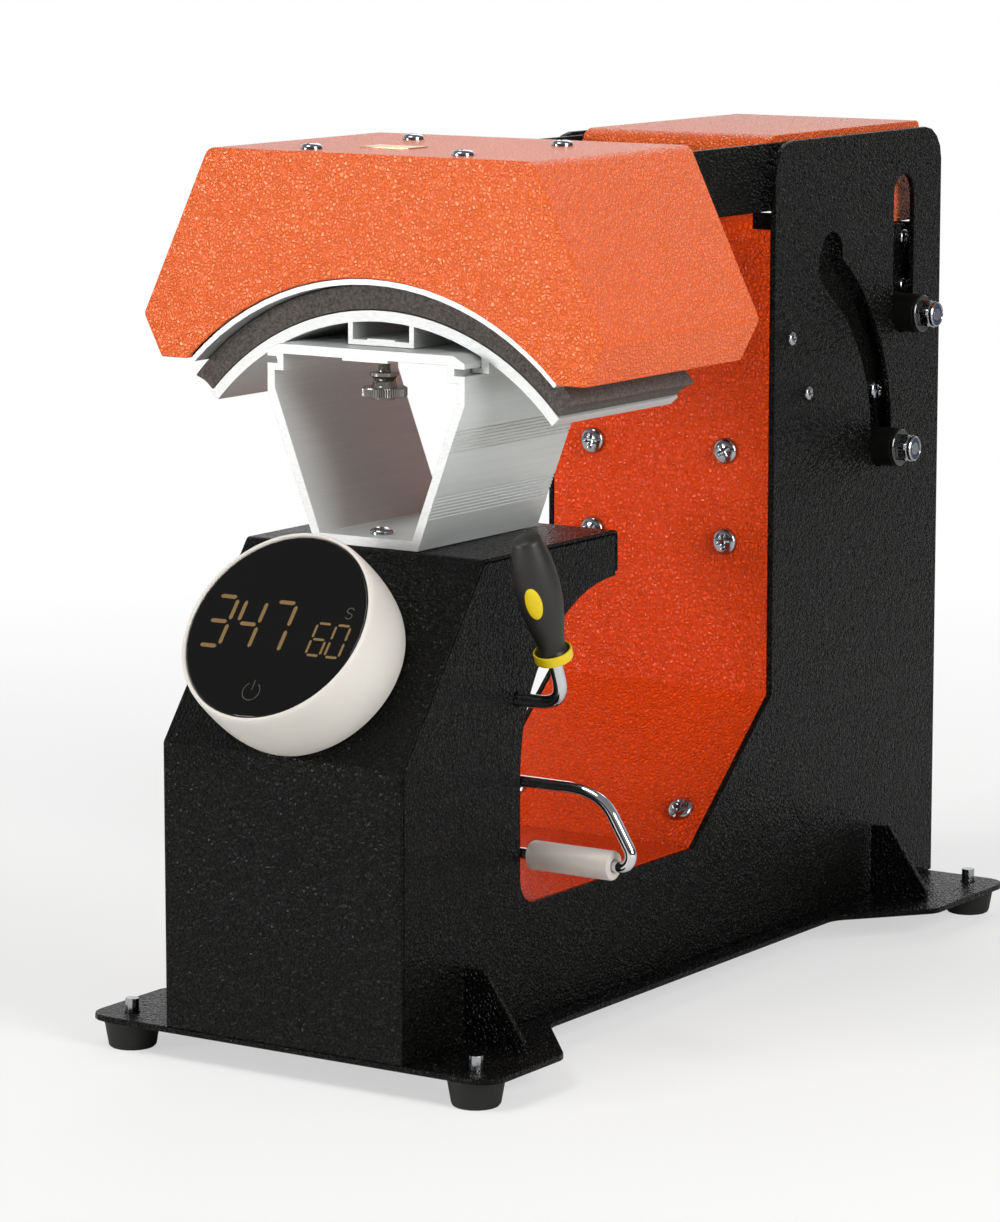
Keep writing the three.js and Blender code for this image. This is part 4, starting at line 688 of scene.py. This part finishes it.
# Swing bracket and bails: a black-coated steel bracket clamped on the lever's rod carries two chromed
# wire bails, and each bail a roller turned from natural nylon. Nylon is milky and lets some light
# through; the lathe leaves fine rings on it.
dress("swing_bracket", black_coat, 0.2)
nylon = mottled("natural nylon", "#ece1d8", "#f8f2ec", 8.33, Roughness=0.42, IOR=1.53,
                Transmission_Weight=0.5, Subsurface_Weight=0.2, Subsurface_Scale=0.003)
tree, ring_mm = nylon.node_tree, 2.0
rings = add_node(tree, "ShaderNodeTexWave", {
    "Vector": tree.nodes["Texture Coordinate"].outputs["Object"], "Scale": 1000 / ring_mm, "Distortion": 0.6},
    wave_type="BANDS", bands_direction="X")
lathe_marks = add_node(tree, "ShaderNodeBump", {
    "Height": rings.outputs["Fac"], "Strength": 0.15, "Distance": 0.00004})
tree.links.new(lathe_marks.outputs[0], tree.nodes["Principled BSDF"].inputs["Normal"])
bail_deep, bail_top, bail_slant, bail_knee, bail_low = 86.5, 98.7, 89.3, 76.8, 69.2
bail_root, bail_shoulder, bail_side, bail_out, bail_foot = 41.0, 78.0, 99.4, 107.0, 103.0
wire_radius, top_pull, slant_pull, knee_pull, foot_pull = 2.4, 11, 7, 3.8, 4
roller_in, roller_long = 61.6, 38.6
rolled_edge = [(2.65, 0.4), (3.05, 0), (5.1, 0), (5.7, 0.25), (6.0, 0.85)]
roller_outline = rolled_edge + [(r, roller_long - h) for r, h in reversed(rolled_edge)] + [rolled_edge[0]]


def swept(a, b, c, d, steps=14):
    """Points of a smooth curve from a to d that sets out towards b and comes in from c."""
    return [a * (1 - t) ** 3 + b * 3 * t * (1 - t) ** 2 + c * 3 * t * t * (1 - t) + d * t ** 3
            for t in [k / steps for k in range(steps + 1)]]


for side, sign in (("left", -1), ("right", 1)):
    root, shoulder_in, slant, knee, foot, root_low = (Vector((sign * x, bail_deep, z)) for x, z in (
        (bail_root, bail_top), (bail_shoulder, bail_top), (bail_side, bail_slant), (bail_out, bail_knee),
        (bail_foot, bail_low), (bail_root, bail_low)))
    down, outward = (knee - slant).normalized(), Vector((sign, 0, 0))
    wire_path = [root]
    wire_path += swept(shoulder_in, shoulder_in + top_pull * outward, slant - slant_pull * down, slant)
    wire_path += swept(knee, knee + knee_pull * down, foot + foot_pull * outward, foot) + [root_low]
    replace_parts(bent_rod(f"bail_wire_{side}", wire_path, wire_radius, "tension_lever"), f"bail_{side}")
    points, faces = turned(roller_outline, 64)
    roller_points = seat(points, (sign * roller_in, bail_deep, bail_low), outward)
    nylon_roller = mesh_piece(f"nylon_roller_{side}", roller_points, faces, nylon, f"roller_{side}")
    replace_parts(nylon_roller, f"bail_roller_{side}")


def nut(name, across, stations, sides, place, facing, spin, body, crease):
    """A zinc-plated nut with flats at a width, turned or bored to its stations' (height, radius)."""
    points = []
    for height, reach in (*stations, stations[0]):
        for angle in [2 * math.pi * k / sides for k in range(sides)]:
            flats = across / 2 / math.cos((angle + math.pi / 6) % (math.pi / 3) - math.pi / 6)
            out = min(flats, reach)
            points.append((out * math.cos(angle), out * math.sin(angle), height))
    faces = woven(len(stations) + 1, sides, closed=True)
    return mesh_piece(name, seat(points, place, facing, spin), faces, zinc, body, crease)


bail_nut = ((0, 4.859), (2.55, 4.859), (3.0, 4.343), (3.0, 2.45), (0, 2.45))
nut_across, nut_deep, nut_outer, nut_inner = 8.6, 86.6, 47.6, 44.9
for side, sign in (("left", -1), ("right", 1)):
    for label, z in (("upper", bail_top), ("lower", bail_low)):
        for where, x, way, spin in (("outer", nut_outer, sign, 10), ("inner", nut_inner, -sign, 25)):
            nut(f"bail_nut_{where}_{label}_{side}", nut_across, bail_nut, 48, (sign * x, nut_deep, z),
                (way, 0, 0), spin, "tension_lever", 25)

# Control knob: a barrel-shaped ring moulded in white ABS, turned by hand round a white core. Its very
# fine spark-eroded skin, drawn a little coarser than it is, makes the white soft and half matt.
white_abs = mottled("white ABS", "#cdc9c1", "#d8d4cd", 40.0, 2.0, skin=(0.12, 0.04, 0.455),
                    Roughness=0.36, IOR=1.53, Subsurface_Weight=0.08, Subsurface_Scale=0.002)
dress("display_core", white_abs, 0.3)
slope_angle = math.radians(52.85)
window_out = Vector((0, -math.sin(slope_angle), math.cos(slope_angle)))
window_up = Vector((0, math.cos(slope_angle), math.sin(slope_angle)))
knob_foot = Vector((0, 24.3, 148.6))
knob_radius, knob_deep = 42.8, 33.5
knob_mouth, knob_inside, knob_seat = 40.75, 40.5, 38.2
barrel_shares = [(0.935, 0.018), (0.956, 0.09), (0.972, 0.18), (0.984, 0.27), (0.993, 0.37), (0.998, 0.48),
                 (1.0, 0.6), (0.999, 0.71), (0.996, 0.82), (0.992, 0.9), (0.987, 0.955), (0.981, 0.985),
                 (0.972, 1.0)]
knob_outline = [(knob_radius * r, knob_deep * h) for r, h in barrel_shares]
knob_outline += [(knob_mouth, knob_deep), (knob_inside, knob_deep - 0.25), (knob_inside, knob_deep / 2),
                 (knob_seat, knob_outline[0][1]), knob_outline[0]]
points, faces = turned(knob_outline, 128)
knob_points = seat(points, knob_foot, window_out)
barrel_ring = mesh_piece("barrel_ring", knob_points, faces, white_abs, "control_ring", 45)
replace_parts(barrel_ring, "display_ring")

# Display window: a disc of smoked acrylic, polished, so dark that only its lit amber figures and a
# thin printed power mark show, the mark given a painted glow, and so smooth that it mirrors the room.
smoked = mottled("smoked acrylic", "#080807", "#0d0c0b", 55.6, 1.0,
                 Roughness=0.03, IOR=1.49, Specular_IOR_Level=0.3)
dress("display_glass", smoked, 0.2)


def lit_mark(name, dim, bright, strength):
    """A mark that glows weakly through the smoked window, a little unevenly; on a print the glow is painted
    light.
    """
    made = mottled(name, dim, bright, 1.43, 2.0, Roughness=0.5, IOR=1.49, Emission_Strength=strength)
    tree = made.node_tree
    tree.links.new(tree.nodes["Mix"].outputs[2], tree.nodes["Principled BSDF"].inputs["Emission Color"])
    return made


amber = lit_mark("amber LED bar", "#5c4621", "#6b5228", 0.4)
# The power and seconds marks are print, not lamps: their weak glow is painted light.
grey_print_painted_glow = lit_mark("grey screen print with painted glow", "#312f2b", "#3a3833", 0.35)
window_high, mark_thick = 33.02, 0.05
window_foot = knob_foot + window_high * window_out


def window_marks(name, outlines, finish):
    """Thin marks on the window from outlines in millimetres across and up its face."""
    points, faces = [], []
    for outline in outlines:
        start, count = len(points), len(outline)
        for raised in (0.0, mark_thick):
            level = window_foot + raised * window_out
            points += [Vector((u, 0, 0)) + v * window_up + level for u, v in outline]
        faces += woven(2, count, start, closed=True)
        faces += [[start + k for k in reversed(range(count))], [start + count + k for k in range(count)]]
    return mesh_piece(name, points, faces, finish, "frame", 20)


def bar(u, v, length, width, upright):
    """A pointed LED bar round its middle, leaning as all the figures do."""
    long, thin, lean = length / 2, width / 2, -0.026
    half = [(-long, 0), (-long + thin, thin), (long - thin, thin)]
    shape = half + [(-x, -y) for x, y in half]
    if upright:
        shape = [(y, x) for x, y in shape]
    return [(u + x - lean * (v + y), v + y) for x, y in shape]


bars_of = {"0": "abcdef", "3": "abcdg", "4": "bcfg", "6": "acdefg", "7": "abc"}
spot_shares = {"a": (0, 1, 0), "g": (0, 0, 0), "d": (0, -1, 0), "b": (1, 0.5, 1), "c": (1, -0.5, 1),
               "f": (-1, 0.5, 1), "e": (-1, -0.5, 1)}
# Each size of figure is its middle's height, half its width and height, and the width of its bars.
large, small = (-0.3, 4.9, 11.0, 1.7), (-3.6, 3.3, 7.0, 1.05)
figures = []
for digit, u, (v, half_width, half_height, width) in (
        ("3", -27.6, large), ("4", -13.5, large), ("7", 0.6, large), ("6", 22.0, small), ("0", 30.9, small)):
    for across, up, upright in [spot_shares[letter] for letter in bars_of[digit]]:
        length = (half_height if upright else 2 * half_width) - width * 1.1
        figures.append(bar(u + across * half_width, v + up * half_height, length, width, upright))
window_marks("display_figures", figures, amber)


def stroke(path, width):
    """A line of even width along a path of points, as one four-sided outline for each step."""
    outlines = []
    for start, end in zip(map(Vector, path), map(Vector, path[1:])):
        side = (end - start).orthogonal().normalized() * width / 2
        outlines.append([tuple(p) for p in (start - side, end - side, end + side, start + side)])
    return outlines


def round_stroke(middle, radii, start, turn, steps):
    """Points of a round line about its middle, by degrees clockwise from the top."""
    angles = [math.radians(start + turn * k / steps) for k in range(steps + 1)]
    return [(middle[0] + radii[0] * math.sin(a), middle[1] + radii[1] * math.cos(a)) for a in angles]


power_ring = round_stroke((0.5, -28.8), (3.9, 3.9), 35, 290, 30)
power_bar = [(0.5, -23.9), (0.5, -28.2)]
curl = (1.5, 1.2)
seconds = round_stroke((31.3, 10.1), curl, 70, -250, 12) + round_stroke((31.3, 7.7), curl, 0, 250, 12)
fine_marks = stroke(power_ring, 0.35) + stroke(power_bar, 0.35) + stroke(seconds, 0.4)
window_marks("display_print", fine_marks, grey_print_painted_glow)

# Control board: a green circuit board that stands behind the front sheet, glass-fibre laminate under
# half-glossy solder resist. Its tracks show through the resist as a paler and darker green.
board, tree, shader = new_material("solder-resist laminate", Roughness=0.42, IOR=1.55)
track_mm = 3.85
tracks = add_node(tree, "ShaderNodeTexBrick", {
    "Vector": add_node(tree, "ShaderNodeTexCoord").outputs["Object"], "Scale": 1000 / track_mm,
    "Color1": linear("#14502a"), "Color2": linear("#175a30"), "Mortar": linear("#0e3a1e")})
tree.links.new(tracks.outputs["Color"], shader.inputs["Base Color"])
dress("control_board", board, 0.1)

# Lift drive: an electric linear drive in a moulded housing inside the column, its chromed rod on the
# upper bolt. Its glass-filled nylon is near black and matt, with faint fibres at the skin.
black_nylon = mottled("black glass-filled nylon", "#0a0a09", "#11110f", 2.0,
                      Roughness=0.5, IOR=1.53, Specular_IOR_Level=0.08)
dress("actuator_body", black_nylon, 0.3)

# Guide rollers: black glass-filled nylon rollers on both bolts run in the side plates' slots. Outside
# them sit a plain washer, black-oxide and oily bright, and a zinc-plated locking nut: a hexagon that
# steps up into a round collar, with a dull blue nylon ring in it.
black_oxide = mottled("black-oxide washer steel", "#111110", "#262625", 5.0, 2.0,
                      Roughness=0.16, IOR=1.9, Specular_IOR_Level=0.5)
blue_nylon = mottled("blue nylon insert", "#1d2740", "#2c3a5c", 3.33, 2.0, Roughness=0.42, IOR=1.53)
lock_nut = ((0, 6.2), (0.4, 6.6), (4.2, 6.6), (4.9, 5.9), (5.1, 5.5), (6.5, 5.5), (6.95, 5.05), (6.95, 4.7),
            (6.6, 4.4), (6.2, 4.4), (6.2, 3.1), (0, 3.1))
lock_nut_across, washer_in, nut_in, ring_in = 11.6, 66.6, 68.25, 74.5
bolt_bore, washer_rim, washer_thick, ring_rim, ring_high, broken = 3.15, 8.15, 1.5, 4.35, 0.7, 0.25
washer = [(bolt_bore, 0), (washer_rim - broken, 0), (washer_rim, broken), (washer_rim, washer_thick - broken),
          (washer_rim - broken, washer_thick), (bolt_bore, washer_thick), (bolt_bore, 0)]
lock_ring = [(bolt_bore, 0), (ring_rim, 0), (ring_rim, ring_high - broken), (ring_rim - broken, ring_high),
             (bolt_bore + broken, ring_high), (bolt_bore, ring_high - broken), (bolt_bore, 0)]
for height, body, y, z in (("upper", "carriage", 396.4, 261.2), ("lower", "guide_pins", 377.6, 202.9)):
    dress(f"{height}_bolt", zinc, 0.15)
    for side, sign in (("left", -1), ("right", 1)):
        dress(f"{height}_roller_{side}", black_nylon, 0.3)
        out = (sign, 0, 0)
        locked = nut(f"{height}_lock_nut_{side}", lock_nut_across, lock_nut, 72, (sign * nut_in, y, z),
                     out, 20, body, 22)
        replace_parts(locked, f"{height}_nut_{side}")
        for label, outline, sides, x, finish, slot in (
                ("washer", washer, 64, washer_in, black_oxide, "zinc"),
                ("lock_ring", lock_ring, 48, ring_in, blue_nylon, "nylon")):
            points, faces = turned(outline, sides)
            placed = seat(points, (sign * x, y, z), out)
            mesh_piece(f"{height}_{label}_{side}", placed, faces, finish, body)

# Head arm: two cheeks cut from black-coated steel plate, joined by a folded web, with the orange arm
# cover folded over their rear end and screwed to them. The outer orange coat is the palest of the
# three coats, with a fine grain that catches warm glints; the inner sheets' deeper copy of it is painted
# shade.
for steel in ("arm_cheek_left", "arm_cheek_right", "arm_web", "head_bracket"):
    dress(steel, black_coat, 0.25)
orange_coat = powder_coat("orange powder-coated steel", "#fe6c1c", "#df540f", 1.7, 0.6, Roughness=0.27,
                          IOR=1.45, Specular_IOR_Level=0.75, Specular_Tint=(1.0, 0.86, 0.7, 1.0))
cover_half, cover_sheet, nose_round, rear_round = 47.2, 1.5, 8, 2.5
cover_front, cover_rear, cover_top, cover_low = 292.5, 428.4, 345.0, 300.6
skirt_low, skirt_from, skirt_to = 325.0, 372.0, 400.0
nose = [(cover_front + nose_round * (1 - math.sin(a)), cover_top - nose_round * (1 - math.cos(a)))
        for a in [math.radians(90 * k / 10) for k in range(11)]]
cover_outer = [(cover_rear, cover_low), (cover_rear, cover_top - rear_round),
               (cover_rear - 0.7, cover_top - 0.7), (cover_rear - rear_round, cover_top),
               *nose, (cover_front, skirt_low)]
skirt_outline = cover_outer + [(skirt_from, skirt_low), (skirt_to, cover_low)]
points = [(x, y, z) for x in (-cover_half, cover_half) for y, z in cover_outer]
faces = woven(2, len(cover_outer))
for x in (-cover_half, cover_half):
    faces.append([len(points) + k for k in range(len(skirt_outline))])
    points += [(x, y, z) for y, z in skirt_outline]
folded_cover = mesh_piece("folded_cover", points, faces, orange_coat, "head_arm", 40)
sheet = folded_cover.modifiers.new("sheet", "SOLIDIFY")
sheet.thickness, sheet.offset, sheet.use_even_offset = cover_sheet / 1000, -1.0, True
round_edges(folded_cover, 0.4, 40)
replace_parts(folded_cover, "arm_cover")
cheek_screws = (("upper", 409.2, 293.6, 3.6), ("lower", 409.2, 271.8, 3.6), ("front", 384.5, 227, 4.6))
for side, sign in (("left", -1), ("right", 1)):
    for label, y, z, radius in cheek_screws:
        spot, rise = (sign * 50, y, z), radius * 0.53
        cross_screw(f"cheek_screw_{label}_{side}", radius, rise, spot, (sign, 0, 0), 25, "head_arm")

# Heating head: an aluminium heating plate cast to the pad's curve, a silicone heater mat glued on it,
# and a block of mineral wool above, all under the folded orange housing with four screws in its top.
# The cast plate is duller than the platen, the mat rust-red and woven, the wool pale and fibrous.
cast_plate = extruded_aluminium("cast aluminium", ("#b9bcbc", "#cfd2d2"), ("#cccdcc", "#e6e6e6"), 0.9)
dress("heating_plate", cast_plate, 0.2)
heater_mat, tree, shader = new_material("silicone heater mat", Roughness=0.62, IOR=1.41)
weave_mm = 1.11
weave = add_node(tree, "ShaderNodeTexChecker", {
    "Vector": add_node(tree, "ShaderNodeTexCoord").outputs["Object"], "Scale": 1000 / weave_mm,
    "Color1": linear("#a84a22"), "Color2": linear("#b9552b")})
tree.links.new(weave.outputs["Color"], shader.inputs["Base Color"])
dress("heater_film", heater_mat, 0.1)
wool = mottled("mineral wool", "#d6cdb4", "#f0ead9", 1.43, 4.0,
               Roughness=0.95, IOR=1.5, Specular_IOR_Level=0.1)
tree = wool.node_tree
stretched = add_node(tree, "ShaderNodeVectorMath", {
    0: tree.nodes["Texture Coordinate"].outputs["Object"], 1: (1.0, 0.3, 2.0)}, operation="MULTIPLY")
tree.links.new(stretched.outputs[0], tree.nodes["Noise Texture"].inputs["Vector"])
dress("insulation_block", wool, 0.3)
dress("head_housing", orange_coat, 0.5)
head_top = 348.3
for side, sign in (("left", -1), ("right", 1)):
    for label, y in (("front", 74.5), ("rear", 146.5)):
        spot, spin = (sign * 36.5, y, head_top), 20 + 15 * sign
        cross_screw(f"head_screw_{label}_{side}", 4.5, 2.5, spot, (0, 0, 1), spin, "head_arm")

# Bare plate: a small blank of rolled brass stuck on the head's top. Its lacquer keeps it pale gold,
# satin rather than bright.
brass = mottled("lacquered brass plate", "#c9b98e", "#ded0a8", 4.0, 2.0, Metallic=1.0, Roughness=0.4)
plate_corners, plate_thick = ((-27, 94), (-3, 94), (-3, 108), (-27, 108)), 0.4
plate_points = [(x, y, z) for z in (head_top, head_top + plate_thick) for x, y in plate_corners]
plate_faces = [[3, 2, 1, 0], [4, 5, 6, 7], *woven(2, 4, closed=True)]
mesh_piece("bare_plate", plate_points, plate_faces, brass, "head_arm")

# Mains parts in the rear cover: an appliance inlet and a rocker switch, both moulded in black ABS. A
# fine spark-eroded skin, drawn a little coarser than it is, keeps the black from shining.
black_abs = mottled("black ABS", "#0e0e0e", "#171717", 0.714, 2.0, skin=(0.2, 0.05),
                    Roughness=0.38, IOR=1.53, Specular_IOR_Level=0.4)
for part in ("power_inlet", "switch_frame", "rocker_switch"):
    dress(part, black_abs, 0.25)
